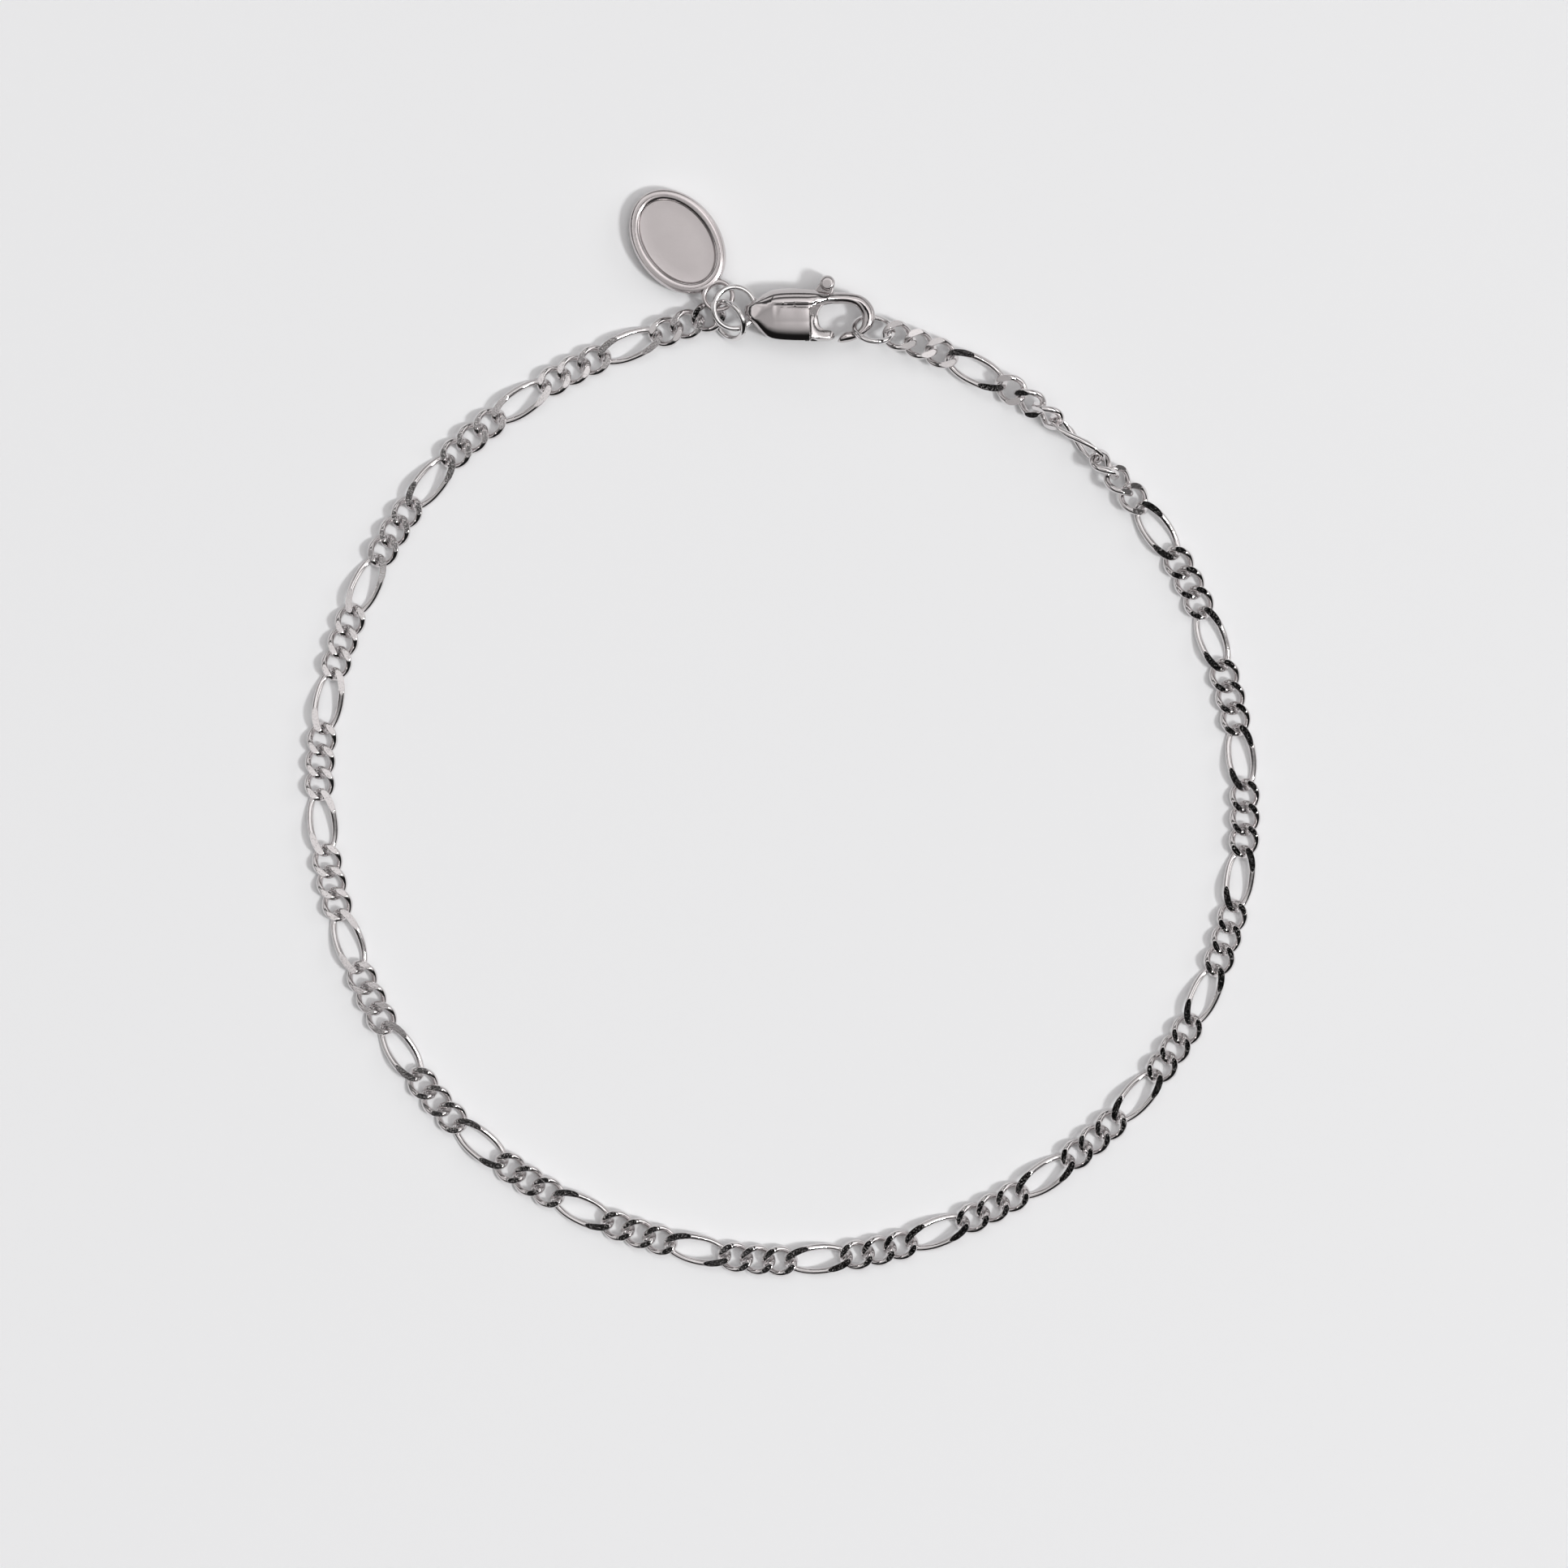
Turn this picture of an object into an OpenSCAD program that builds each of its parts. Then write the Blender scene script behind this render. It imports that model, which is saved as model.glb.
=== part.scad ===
// Figaro link bracelet of polished white metal, closed by a lobster clasp, lying flat.
// Millimetres, +Z up. The origin is the middle of the loop, on the surface that it lies on.

/* [Chain] */
// Diameter of the wire that the links are bent from
link_wire = 0.47; // [0.38:0.01:0.57]
// Outer width of every link
link_w = 2.15; // [2:0.05:2.6]
// Inner length of a long link
long_in = 3.82; // [3.1:0.02:4.6]
// Inner length of a short link
short_in = 1.58; // [1.4:0.02:1.9]
// Turn of each end of a link against its middle, which makes the chain lie flat
link_twist = 45; // [38:1:55]
// Thickness that the chain is ground down to, top and bottom
chain_t = 0.8; // [0.7:0.05:1]
// Play where one link hangs in the next
link_play = 0.05; // [0.02:0.01:0.08]
// Number of long links, each with a run of short links on both sides
long_count = 22; // [18:1:24]

/* [Jump rings] */
// Wire of the three jump rings
ring_wire = 0.36; // [0.3:0.02:0.44]
// Outer diameter of the ring that holds the tag
tag_ring_d = 3.2; // [2.8:0.1:3.6]
// Outer diameter of the ring that starts the chain
start_ring_d = 3.05; // [2.9:0.05:3.4]
// Outer diameter of the ring that the hook catches
catch_ring_d = 3.05; // [2.8:0.05:3.6]

/* [Clasp] */
// Thickness of the clasp's body
clasp_t = 2.6; // [2.4:0.1:2.9]
// Width of the clasp's body
clasp_w = 3.6; // [3.4:0.1:4.2]
// Length of the barrel between the neck and the opening
barrel_l = 3; // [2.6:0.1:3.6]
// Outer radius of the hook
hook_r = 1.56; // [1.5:0.02:1.8]
// Radius of the round ends of the clasp's opening
opening_r = 1.03; // [0.98:0.01:1.1]
// Thickness of the lever where it runs in the body's slot
lever_t = 0.9; // [0.7:0.05:1]
// Diameter of the lever's hinge pin
pin_d = 0.5; // [0.4:0.05:0.6]

/* [Tag] */
// Length of the oval tag
tag_l = 7.9; // [6:0.1:9]
// Width of the oval tag
tag_w = 5.8; // [4.8:0.1:7]
// Thickness of the tag
tag_t = 1.1; // [1.05:0.05:1.4]
// Width of the tag's raised rim
tag_rim = 0.8; // [0.5:0.05:1]

/* [Hidden] */
// Links of the chain, in order from the clasp's neck end
short_run = 3;
period = short_run + 1;
link_count = period * long_count + short_run;

// Radius of the loop at every 15 degrees, as shares of its mean radius, chosen by hand
route_shares = [
    0.998, 0.985, 0.984, 0.983, 0.990, 1.003, 1.042, 1.010, 1.003, 1.004, 0.996, 0.993,
    0.992, 0.987, 0.992, 1.002, 1.004, 1.007, 1.018, 1.017, 1.012, 1.015, 1.017, 1.010
];
route_step = 360 / len(route_shares);
// Direction from the middle of the loop to the middle of the clasp and its rings
clasp_direction = 87;

// Roll of the links about the chain, by number counted back from the hook's end: the chain
// makes one half turn there. Each row is [link number, roll in degrees].
roll_rows = [[0, 200], [1, 197], [2, 190], [3, 180], [4, 160], [5, 137], [6, 114], [7, 90],
    [8, 65], [9, 40], [10, 17], [11, 0]];
// Height of the joints between links over their height in the flat chain, as shares of half
// the link's width, by number counted back from the hook's end, and from the neck's end
end_lift_rows = [[0, 0.97], [1, 0.72], [2, 0.5], [3, 0.35], [4, 0.36], [5, 0.5], [6, 0.62],
    [7, 0.68], [8, 0.66], [9, 0.56], [10, 0.4], [11, 0.17], [12, 0.02], [13, 0.006],
    [14, 0.001], [15, 0]];
start_lift_rows = [[0, 0.13], [1, 0.23], [2, 0.2], [3, 0.05], [4, 0.012], [5, 0.002], [6, 0]];

// Shape of the links: how square the oval is, and the facets of its wire
long_power = 2.6;
short_power = 2.1;
long_rings = 18;
short_rings = 12;
wire_sides = 8;

// Clearances: round moving pieces, round the pin in the body, and round the pin in the lever
run_fit = 0.05;
pin_fit = 0.01;
hinge_fit = 0.03;

// Clasp, in its own frame: the barrel's middle is its origin, the hook points along +X
clasp_z = clasp_t / 2;
barrel_end = barrel_l / 2 - 0.05;
barrel_start = -barrel_l / 2 + 0.2;
barrel_half = clasp_w / 2;
hook_c = [barrel_end + 2.95, -0.15];
opening_c = [barrel_end + 1.65, -0.35];
opening_l = 1;
pivot = [barrel_end - 0.5, 0.15];
knob_c = [barrel_end + 1.27, barrel_half + 0.31];
knob_r = 0.53;
knob_t = 1.4;
gate_t = 1.5;
boss_r = 0.6;
slot_t = lever_t + 2 * run_fit;
slot_boss_r = 0.75;
slot_end = barrel_half + 0.3;
pin_top_wall = 0.35;
neck_end = barrel_start - 1.68;
neck_t = 1.4;
neck_l = 0.7;
neck_y = 0.2;
eye_r = ring_wire / 2 + 0.23;
eye_x = neck_end + eye_r + 0.2;
hook_root_x = barrel_end + 1.7;
hook_root_half = 0.85;
hook_half = 0.4;
hook_tip_half = 0.3;
hook_back_y = 0.5;
shoulder_y = 0.35;

// Corners of the clasp's outline: of the neck, from its end; of the barrel, from its start and as
// shares of its half width; of the hook's back, from the barrel's end and its upper edge; of the
// beak, along X from the hook's middle; and of the lever's gate, along X from the barrel's end
neck_under = [[0, -0.28], [0.15, -0.4], [0.5, -0.62]];
neck_over = [[0.15, 0.55], [0, 0.35]];
barrel_under = [[-0.4, -0.74], [0.15, -0.91], [1.2, -0.98]];
barrel_over = [[0.6, 0.99], [-0.1, 0.89], [-0.8, 0.64]];
hook_back = [[1, -0.12], [-0.4, 0]];
beak_tip = [[-0.45, -1.22], [-0.85, -1.5], [-1.1, -1.93]];
beak_under = [[-0.8, -2], [0.2, -1.9], [0.5, -1.62], [0.35, -1.1]];
gate_corners = [[1.3, -1.85], [1.73, -1.4], [1.65, -1.25]];
// The hook seen from its end, as [across, half thickness]: thin at the beak, thick at the back
hook_section_rows = [[-2.1, 0.18], [-0.9, 0.27], [0.6, 0.8], [0.7, 2], [2.1, 2]];

// Jump rings, in the clasp's frame
tag_ring_r = (tag_ring_d - ring_wire) / 2;
start_ring_r = (start_ring_d - ring_wire) / 2;
catch_ring_r = (catch_ring_d - ring_wire) / 2;
tag_ring_turn = -12.5;
tag_ring_rise = 10.3;
tag_ring_hang = [eye_x + 0.1, neck_y, clasp_z];
start_ring_turn = 31.6;
start_ring_tilt = 51;
catch_ring_tilt = 50;
catch_ring_turn = -11;
catch_ring_z = clasp_z + 0.14;

// Places of the rings, of the chain's start and of the tag's loop, as shares of the radius of
// the ring that each hangs on
start_ring_share = [-0.27, -0.58, -0.21];
chain_start_share = [-0.51, 0.37];
tag_loop_share = [-0.53, 1.24, 0];
catch_ring_share = [0.92, -0.6];

// Tag, in the clasp's frame
tag_direction = 126;
loop_wire = 0.34;
loop_hole = 1.6;
loop_z = 0.8;
loop_sink = 0.23;
recess_depth = 0.25;
oval_sides = 48;

long_names = [for (i = [1:long_count]) str("long_link_", two(i))];
run_names = [for (i = [1:long_count + 1]) str("short_links_", two(i))];

function two(i) = str(i < 10 ? "0" : "", i);
function unit(v) = v / norm(v);
function sgn_pow(x, p) = sign(x) * pow(abs(x), p);

// Route of the chain: a closed curve through the shares, rounded by a cubic between them
function share_at(i) = route_shares[(i + 2 * len(route_shares)) % len(route_shares)];
function cubic(a, b, c, d, t) =
    b + 0.5 * t * (c - a + t * (2 * a - 5 * b + 4 * c - d + t * (3 * (b - c) + d - a)));
function share(angle) =
    let (i = floor(angle / route_step), t = angle / route_step - i)
    cubic(share_at(i - 1), share_at(i), share_at(i + 1), share_at(i + 2), t);
function unit_route(angle) = share(angle) * [cos(angle), sin(angle)];
route_samples = 360;
function half_gap_route(half_gap) = [for (i = [0:route_samples])
    unit_route(clasp_direction + half_gap + (360 - 2 * half_gap) * i / route_samples)];
function running_length(points) = [for (i = 0, s = 0; i < len(points);
    s = s + (i + 1 < len(points) ? norm(points[i + 1] - points[i]) : 0), i = i + 1) s];
function route_length(half_gap) = running_length(half_gap_route(half_gap))[route_samples];

// Lengths along the chain
long_pitch = long_in - link_play;
short_pitch = short_in - link_play;
chain_length = long_count * long_pitch + (link_count - long_count) * short_pitch;
function is_long(k) = k % period == short_run;
function joint_length(j) =
    floor(j / period) * (long_pitch + short_run * short_pitch) + (j % period) * short_pitch;

// The clasp and its rings close the gap in the loop: their span, and the loop that fits
tag_ring_c = tag_ring_hang + tag_ring_r * [-cos(tag_ring_turn) * cos(tag_ring_rise),
    -sin(tag_ring_turn) * cos(tag_ring_rise), sin(tag_ring_rise)];
start_ring_c = tag_ring_c + tag_ring_r * start_ring_share;
chain_start = [start_ring_c[0], start_ring_c[1]] + start_ring_r * chain_start_share;
tag_loop_r = (loop_hole + loop_wire) / 2;
tag_loop_c = start_ring_c + start_ring_r * tag_loop_share;
// The tag's far end leans down until it rests on the surface
tag_reach = tag_l + tag_loop_r - loop_sink;
tag_tilt = asin(tag_loop_c[2] / norm([tag_reach, loop_z])) - atan(loop_z / tag_reach);
catch_ring_c = hook_c + hook_r * catch_ring_share;
chain_end = catch_ring_c + (catch_ring_r - ring_wire / 2 - link_play)
    * [cos(catch_ring_turn), sin(catch_ring_turn)];
gap_span = norm(chain_end - chain_start);
function route_gap(half_gap) =
    norm(unit_route(clasp_direction + half_gap) - unit_route(clasp_direction - half_gap));
function fit_half_gap(half_gap, tries) = tries == 0 ? half_gap
    : fit_half_gap(half_gap * gap_span * route_length(half_gap)
        / (chain_length * route_gap(half_gap)), tries - 1);
half_gap = fit_half_gap(10, 6);
loop_r = chain_length / route_length(half_gap);
route_points = loop_r * half_gap_route(half_gap);
route_table = let (s = running_length(route_points))
    [for (i = [0:route_samples]) [s[i], i]];
function route_at(s) =
    let (f = lookup(s, route_table), i = min(floor(f), route_samples - 1))
    route_points[i] + (f - i) * (route_points[i + 1] - route_points[i]);

// Where the clasp's frame lies in the loop
gap_vector = route_points[route_samples] - route_points[0];
clasp_turn = atan2(gap_vector[1], gap_vector[0])
    - atan2(chain_end[1] - chain_start[1], chain_end[0] - chain_start[0]);
function turned(p, a) = [p[0] * cos(a) - p[1] * sin(a), p[0] * sin(a) + p[1] * cos(a)];
clasp_at = route_points[0] - turned(chain_start, clasp_turn);

// Joints between links, and the roll of each link
function joint_z(j) = chain_t / 2 + link_w / 2
    * (lookup(link_count - j, end_lift_rows) + lookup(j, start_lift_rows));
function joint_at(j) = let (p = route_at(joint_length(j))) [p[0], p[1], joint_z(j)];
function roll_of(k) = lookup(link_count - 1 - k, roll_rows);

// A point of a link's centre line, in the link's own frame, and the axis across it there
function link_line(half_l, half_w, power, t) =
    let (u = half_l * sgn_pow(cos(t), 2 / power), v = half_w * sgn_pow(sin(t), 2 / power),
        turn = -link_twist * u / half_l)
    [u, v * cos(turn), v * sin(turn)];
function link_across(half_l, power, t) =
    let (turn = -link_twist * sgn_pow(cos(t), 2 / power))
    [0, -sin(turn), cos(turn)];
function clamp_z(p, z) = [p[0], p[1], max(-z, min(z, p[2]))];

// Rings of points round the wire, ground flat at the top and the bottom
function link_points(half_l, half_w, power, rings) = [
    for (i = [0:rings - 1])
        let (t = 360 * i / rings, p = link_line(half_l, half_w, power, t),
            along = unit(link_line(half_l, half_w, power, t + 1)
                - link_line(half_l, half_w, power, t - 1)),
            across = link_across(half_l, power, t),
            e1 = unit(across - (across * along) * along), e2 = cross(along, e1))
        for (k = [0:wire_sides - 1])
            clamp_z(p + link_wire / 2
                * (cos(360 * k / wire_sides) * e2 + sin(360 * k / wire_sides) * e1), chain_t / 2)
];
function link_faces(rings) = [
    for (i = [0:rings - 1], k = [0:wire_sides - 1])
        let (a = i * wire_sides, b = ((i + 1) % rings) * wire_sides, k2 = (k + 1) % wire_sides)
        for (f = [[a + k, a + k2, b + k2], [a + k, b + k2, b + k]]) f
];

// Moves a link's points to its place between two joints of the chain
function placed(points, from, to, roll) =
    let (c = (from + to) / 2, u = unit(to - from), v0 = unit(cross([0, 0, 1], u)),
        n0 = cross(u, v0), v = cos(roll) * v0 + sin(roll) * n0, n = cross(u, v))
    [for (p = points) c + p[0] * u + p[1] * v + p[2] * n];

module link(k) {
    inner = is_long(k) ? long_in : short_in;
    rings = is_long(k) ? long_rings : short_rings;
    points = link_points((inner + link_wire) / 2, (link_w - link_wire) / 2,
        is_long(k) ? long_power : short_power, rings);
    color("silver")
        polyhedron(placed(points, joint_at(k), joint_at(k + 1), roll_of(k)),
            link_faces(rings));
}

module short_links(run) {
    for (i = [0:short_run - 1]) link((run - 1) * period + i);
}

// Puts what is drawn in the clasp's frame where the clasp lies
module in_clasp_frame() {
    translate([clasp_at[0], clasp_at[1], 0]) rotate([0, 0, clasp_turn]) children();
}

module ring(r) {
    color("gainsboro") rotate_extrude($fn = 48) translate([r, 0]) circle(d = ring_wire, $fn = 24);
}

module tag_ring() {
    in_clasp_frame()
        translate(tag_ring_c) rotate([0, tag_ring_rise, tag_ring_turn]) ring(tag_ring_r);
}

module start_ring() {
    in_clasp_frame()
        translate(start_ring_c) rotate([0, -start_ring_tilt, start_ring_turn]) ring(start_ring_r);
}

module catch_ring() {
    in_clasp_frame()
        translate([catch_ring_c[0], catch_ring_c[1], catch_ring_z])
            rotate([0, 0, catch_ring_turn]) rotate([-catch_ring_tilt, 0, 0]) ring(catch_ring_r);
}

function from(x, y, corners) = [for (c = corners) [x + c[0], y + c[1]]];
function with_mirrored(rows) =
    concat(rows, [for (i = [len(rows) - 1:-1:0]) [rows[i][0], -rows[i][1]]]);

// Outline of the clasp seen from above, without its opening
module clasp_outline() {
    polygon(concat(
        from(neck_end, neck_y, neck_under),
        [for (c = barrel_under) [barrel_start + c[0], c[1] * barrel_half]],
        [[barrel_end, -barrel_half], [barrel_end, hook_back_y], [hook_c[0], hook_back_y],
            [hook_c[0], hook_c[1] + hook_r]],
        from(barrel_end, barrel_half, hook_back),
        [for (c = barrel_over) [barrel_start + c[0], c[1] * barrel_half]],
        from(neck_end, neck_y, neck_over)));
    translate(hook_c) circle(r = hook_r, $fn = 64);
    polygon(from(hook_c[0], 0, concat(beak_tip, beak_under)));
}

// The long round part of the clasp's opening
module opening_round() {
    for (x = [0, opening_l]) translate(opening_c + [x, 0]) circle(r = opening_r, $fn = 48);
    translate(opening_c + [0, -opening_r]) square([opening_l, 2 * opening_r]);
}

// The clasp's opening, which ends at the beak and at the lever
module opening_outline() {
    opening_round();
    polygon(concat(
        [[barrel_end, shoulder_y], opening_c + [0, opening_r], [opening_c[0], -1.2]],
        from(hook_c[0], 0, beak_tip),
        [[hook_c[0] - 1.3, -slot_end], [barrel_end, -slot_end]]));
}

// The clasp seen from the side: thick barrel, thinner neck and hook
module clasp_profile() {
    polygon(with_mirrored([[neck_end, neck_t / 2], [neck_end + neck_l, neck_t / 2],
        [barrel_start, clasp_t / 2], [barrel_end, clasp_t / 2], [hook_root_x, hook_root_half],
        [hook_c[0], hook_half], [hook_c[0] + hook_r, hook_tip_half]]));
}

// The slot that the lever turns in
module slot_outline() {
    translate(pivot) circle(r = slot_boss_r, $fn = 48);
    polygon([pivot + [-0.6, -0.55], [barrel_end - 0.1, -slot_end],
        [barrel_end + 1.5, -slot_end], [barrel_end + 1.6, slot_end],
        [pivot[0] - 0.35, slot_end], pivot + [-0.6, 0]]);
}

module clasp_body() {
    color("lightgray") in_clasp_frame() translate([0, 0, clasp_z]) difference() {
        intersection() {
            translate([0, 0, -clasp_t]) linear_extrude(2 * clasp_t) difference() {
                clasp_outline();
                opening_outline();
            }
            translate([0, clasp_w, 0]) rotate([90, 0, 0]) linear_extrude(2 * clasp_w)
                clasp_profile();
            rotate([90, 0, 90]) union() {
                translate([0, 0, -2 * clasp_w]) linear_extrude(2 * clasp_w + barrel_end + 1.6)
                    circle(d = clasp_w + 0.5, $fn = 64);
                linear_extrude(4 * clasp_w) polygon(with_mirrored(hook_section_rows));
            }
        }
        translate([0, 0, -slot_t / 2]) linear_extrude(slot_t) slot_outline();
        translate([knob_c[0], knob_c[1], 0])
            cylinder(r = knob_r + 0.1, h = knob_t + 4 * run_fit, center = true, $fn = 48);
        translate([eye_x, neck_y, 0]) rotate([90, 0, 0])
            cylinder(r = eye_r, h = clasp_w, center = true, $fn = 48);
        translate([pivot[0], pivot[1], -clasp_t])
            cylinder(d = pin_d + 2 * pin_fit, h = 1.5 * clasp_t - pin_top_wall, $fn = 48);
    }
}

module clasp_pin() {
    color("dimgray") in_clasp_frame() translate([pivot[0], pivot[1], 0])
        cylinder(d = pin_d, h = clasp_t - pin_top_wall - pin_fit, $fn = 48);
}

// The lever seen from above: boss, tongue along the opening, and the stem to the knob
module lever_outline() {
    difference() {
        union() {
            translate(pivot) circle(r = boss_r, $fn = 48);
            polygon(concat(
                [pivot + [-0.4, -0.45], [barrel_end + 0.1, -1.7]],
                from(barrel_end, 0, gate_corners),
                [[opening_c[0], 0.3], [barrel_end + 0.95, 0.7], knob_c + [0.3, -0.4],
                    knob_c + [-0.5, -0.2], pivot + [0, boss_r]]));
        }
        opening_round();
        translate(pivot) circle(d = pin_d + 2 * hinge_fit, $fn = 48);
    }
}

// The thick end of the lever, outside the slot, which closes the opening
module gate_outline() {
    top_y = -0.1;
    difference() {
        polygon(concat(
            [[barrel_end + run_fit, -1.82]],
            from(barrel_end, 0, gate_corners),
            [[opening_c[0], top_y], [barrel_end + run_fit, top_y]]));
        opening_round();
    }
}

module clasp_lever() {
    color("whitesmoke") in_clasp_frame() translate([0, 0, clasp_z]) {
        translate([0, 0, -lever_t / 2]) linear_extrude(lever_t) lever_outline();
        translate([0, 0, -gate_t / 2]) linear_extrude(gate_t) gate_outline();
        translate([knob_c[0], knob_c[1], -knob_t / 2]) cylinder(r = knob_r, h = knob_t, $fn = 48);
    }
}

module oval(l, w) {
    polygon([for (i = [0:oval_sides - 1])
        [l / 2 * cos(360 * i / oval_sides), w / 2 * sin(360 * i / oval_sides)]]);
}

module tag() {
    color("silver") in_clasp_frame() translate(tag_loop_c)
        rotate([0, tag_tilt, tag_direction]) {
            translate([tag_l / 2 + tag_loop_r - loop_sink, 0, -loop_z]) difference() {
                linear_extrude(tag_t) oval(tag_l, tag_w);
                translate([0, 0, tag_t - recess_depth]) linear_extrude(tag_t)
                    oval(tag_l - 2 * tag_rim, tag_w - 2 * tag_rim);
            }
            rotate_extrude($fn = 48) translate([tag_loop_r, 0]) circle(d = loop_wire, $fn = 24);
        }
}

for (i = [1:long_count])
    link(i * period - 1);
for (i = [1:long_count + 1])
    short_links(i);
tag_ring();
start_ring();
catch_ring();
clasp_body();
clasp_pin();
clasp_lever();
tag();
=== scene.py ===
"""Looks of the figaro link bracelet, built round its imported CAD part.

Lengths in the lists below are millimetres. Pieces are built in metres, in the CAD frame.
"""

import math

import bmesh
import bpy
import numpy as np
from mathutils import Matrix, Vector
from mathutils.geometry import delaunay_2d_cdt


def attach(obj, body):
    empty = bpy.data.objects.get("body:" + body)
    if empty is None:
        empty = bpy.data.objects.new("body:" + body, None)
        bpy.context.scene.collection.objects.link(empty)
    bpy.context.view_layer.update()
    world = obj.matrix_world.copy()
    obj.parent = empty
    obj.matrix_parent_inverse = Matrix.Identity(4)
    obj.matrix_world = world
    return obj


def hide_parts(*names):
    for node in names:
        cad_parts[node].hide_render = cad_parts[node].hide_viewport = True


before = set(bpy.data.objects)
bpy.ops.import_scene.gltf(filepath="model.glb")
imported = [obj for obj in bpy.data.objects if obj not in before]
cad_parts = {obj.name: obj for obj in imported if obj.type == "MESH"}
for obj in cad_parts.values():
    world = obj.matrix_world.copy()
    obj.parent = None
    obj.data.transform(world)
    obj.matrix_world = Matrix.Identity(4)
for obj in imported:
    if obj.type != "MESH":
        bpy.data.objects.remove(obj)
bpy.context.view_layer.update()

MM = 0.001

# Chain, as in the CAD source
CAD_WIRE = 0.47
LINK_WIDTH = 2.15
LONG_INNER = 3.82
SHORT_INNER = 1.58
LINK_TWIST = 45
CHAIN_THICKNESS = 0.8
LINK_PLAY = 0.05
LONG_COUNT = 22
PERIOD = 4
LINK_COUNT = PERIOD * LONG_COUNT + PERIOD - 1
LONG_POWER = 2.6
SHORT_POWER = 2.1

# Links as shown: their round wire, and how high above a link's middle its top is ground flat
LINK_WIRE = 0.464
LINK_SIDES = 14
LONG_RINGS = 72
SHORT_RINGS = 52
LONG_TOP = 0.42
SHORT_TOP = 0.46

# Loop of the chain, as in the CAD source
ROUTE_SHARES = [
    0.998, 0.985, 0.984, 0.983, 0.990, 1.003, 1.042, 1.010, 1.003, 1.004, 0.996, 0.993,
    0.992, 0.987, 0.992, 1.002, 1.004, 1.007, 1.018, 1.017, 1.012, 1.015, 1.017, 1.010,
]
CLASP_DIRECTION = 87
# Half the loop's opening at the clasp in degrees, before it is fitted in so many rounds
START_HALF_GAP = 10
FIT_ROUNDS = 6
# Rows of place and value, counted from the hook's end, or from the neck's end in the last list
ROLL_ROWS = [
    (0, 200), (1, 197), (2, 190), (3, 180), (4, 160), (5, 137), (6, 114), (7, 90),
    (8, 65), (9, 40), (10, 17), (11, 0),
]
END_LIFT_ROWS = [
    (0, 0.97), (1, 0.72), (2, 0.5), (3, 0.35), (4, 0.36), (5, 0.5), (6, 0.62), (7, 0.68),
    (8, 0.66), (9, 0.56), (10, 0.4), (11, 0.17), (12, 0.02), (13, 0.006), (14, 0.001),
    (15, 0),
]
START_LIFT_ROWS = [(0, 0.13), (1, 0.23), (2, 0.2), (3, 0.05), (4, 0.012), (5, 0.002), (6, 0)]

# Clasp and rings, in the clasp's own frame: the barrel's middle is its origin
RING_WIRE = 0.36
TAG_RING_R = 1.42
START_RING_R = 1.345
CATCH_RING_R = 1.345
CLASP_Z = 1.3
EYE = (-2.37, 0.2)
EYE_R = 0.41
PIVOT = (0.95, 0.15)
KNOB = (2.72, 2.11)
TAG_RING_TURN = -12.5
TAG_RING_RISE = 10.3
START_RING_TURN = 31.6
START_RING_TILT = 51
CATCH_RING_TILT = 50
CATCH_RING_TURN = -11
CATCH_RING_Z = 1.44
HOOK_MIDDLE = np.array([4.4, -0.15])
HOOK_R = 1.56
# How far past the eye's middle the tag ring's wire hangs
RING_HANG = 0.1
# Places from the middle of a ring, or of the hook, as shares of its radius
START_RING_SHARE = np.array([-0.27, -0.58, -0.21])
TAG_LOOP_SHARE = np.array([-0.53, 1.24, 0])
CHAIN_START_SHARE = np.array([-0.51, 0.37])
CATCH_RING_SHARE = np.array([0.92, -0.6])
# Tag: the direction it points in, then its oval and rim, and its loop
TAG_DIRECTION = 126
TAG_LENGTH = 7.9
TAG_WIDTH = 5.8
TAG_RIM = 0.8
LOOP_R = 0.97
LOOP_WIRE = 0.34
LOOP_SINK = 0.23
LOOP_Z = 0.8

# Jump rings as shown: stouter wire than the CAD's, and where round each ring its seam is
SHOWN_RING_WIRE = 0.4
RING_SIDES = 20
RING_STEPS = 97
HALF_SEAM = 0.6
TAG_RING_SEAM = 100
START_RING_SEAM = -60
CATCH_RING_SEAM = -70


# Small helpers

def linear(colour):
    """Linear rgba of an sRGB hex colour."""
    parts = [int(colour[i:i + 2], 16) / 255 for i in (1, 3, 5)]
    return [c / 12.92 if c <= 0.04045 else ((c + 0.055) / 1.055) ** 2.4 for c in parts] + [1]


def add(tree, kind, inputs=(), **settings):
    """Adds a node with its settings, and links or sets its inputs."""
    made = tree.nodes.new(kind)
    for name, value in settings.items():
        setattr(made, name, value)
    for key, value in dict(inputs).items():
        socket = made.inputs[key]
        if isinstance(value, bpy.types.NodeSocket):
            tree.links.new(value, socket)
        else:
            socket.default_value = value
    return made


def calc(tree, operation, a, b=0.0):
    """Output of a math node."""
    return add(tree, "ShaderNodeMath", {0: a, 1: b}, operation=operation).outputs[0]


def rows_at(x, rows):
    """Straight-line value at x in rows of (place, value)."""
    return float(np.interp(x, [r[0] for r in rows], [r[1] for r in rows]))


def unit(v):
    """The vector at a length of 1."""
    return v / np.linalg.norm(v)


def unit_circle(count):
    """Across and up places of points round a circle of radius 1."""
    angle = np.linspace(0, 2 * math.pi, count, endpoint=False)
    return np.cos(angle), np.sin(angle)


def rotation(degrees, axis):
    """Turn about an axis, as a matrix."""
    return Matrix.Rotation(math.radians(degrees), 4, axis)


# Route of the chain and the places of its links

def cubic(a, b, c, d, t):
    """Smooth curve from b to c, with a before it and d after it."""
    return b + 0.5 * t * (c - a + t * (2 * a - 5 * b + 4 * c - d + t * (3 * (b - c) + d - a)))


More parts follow.
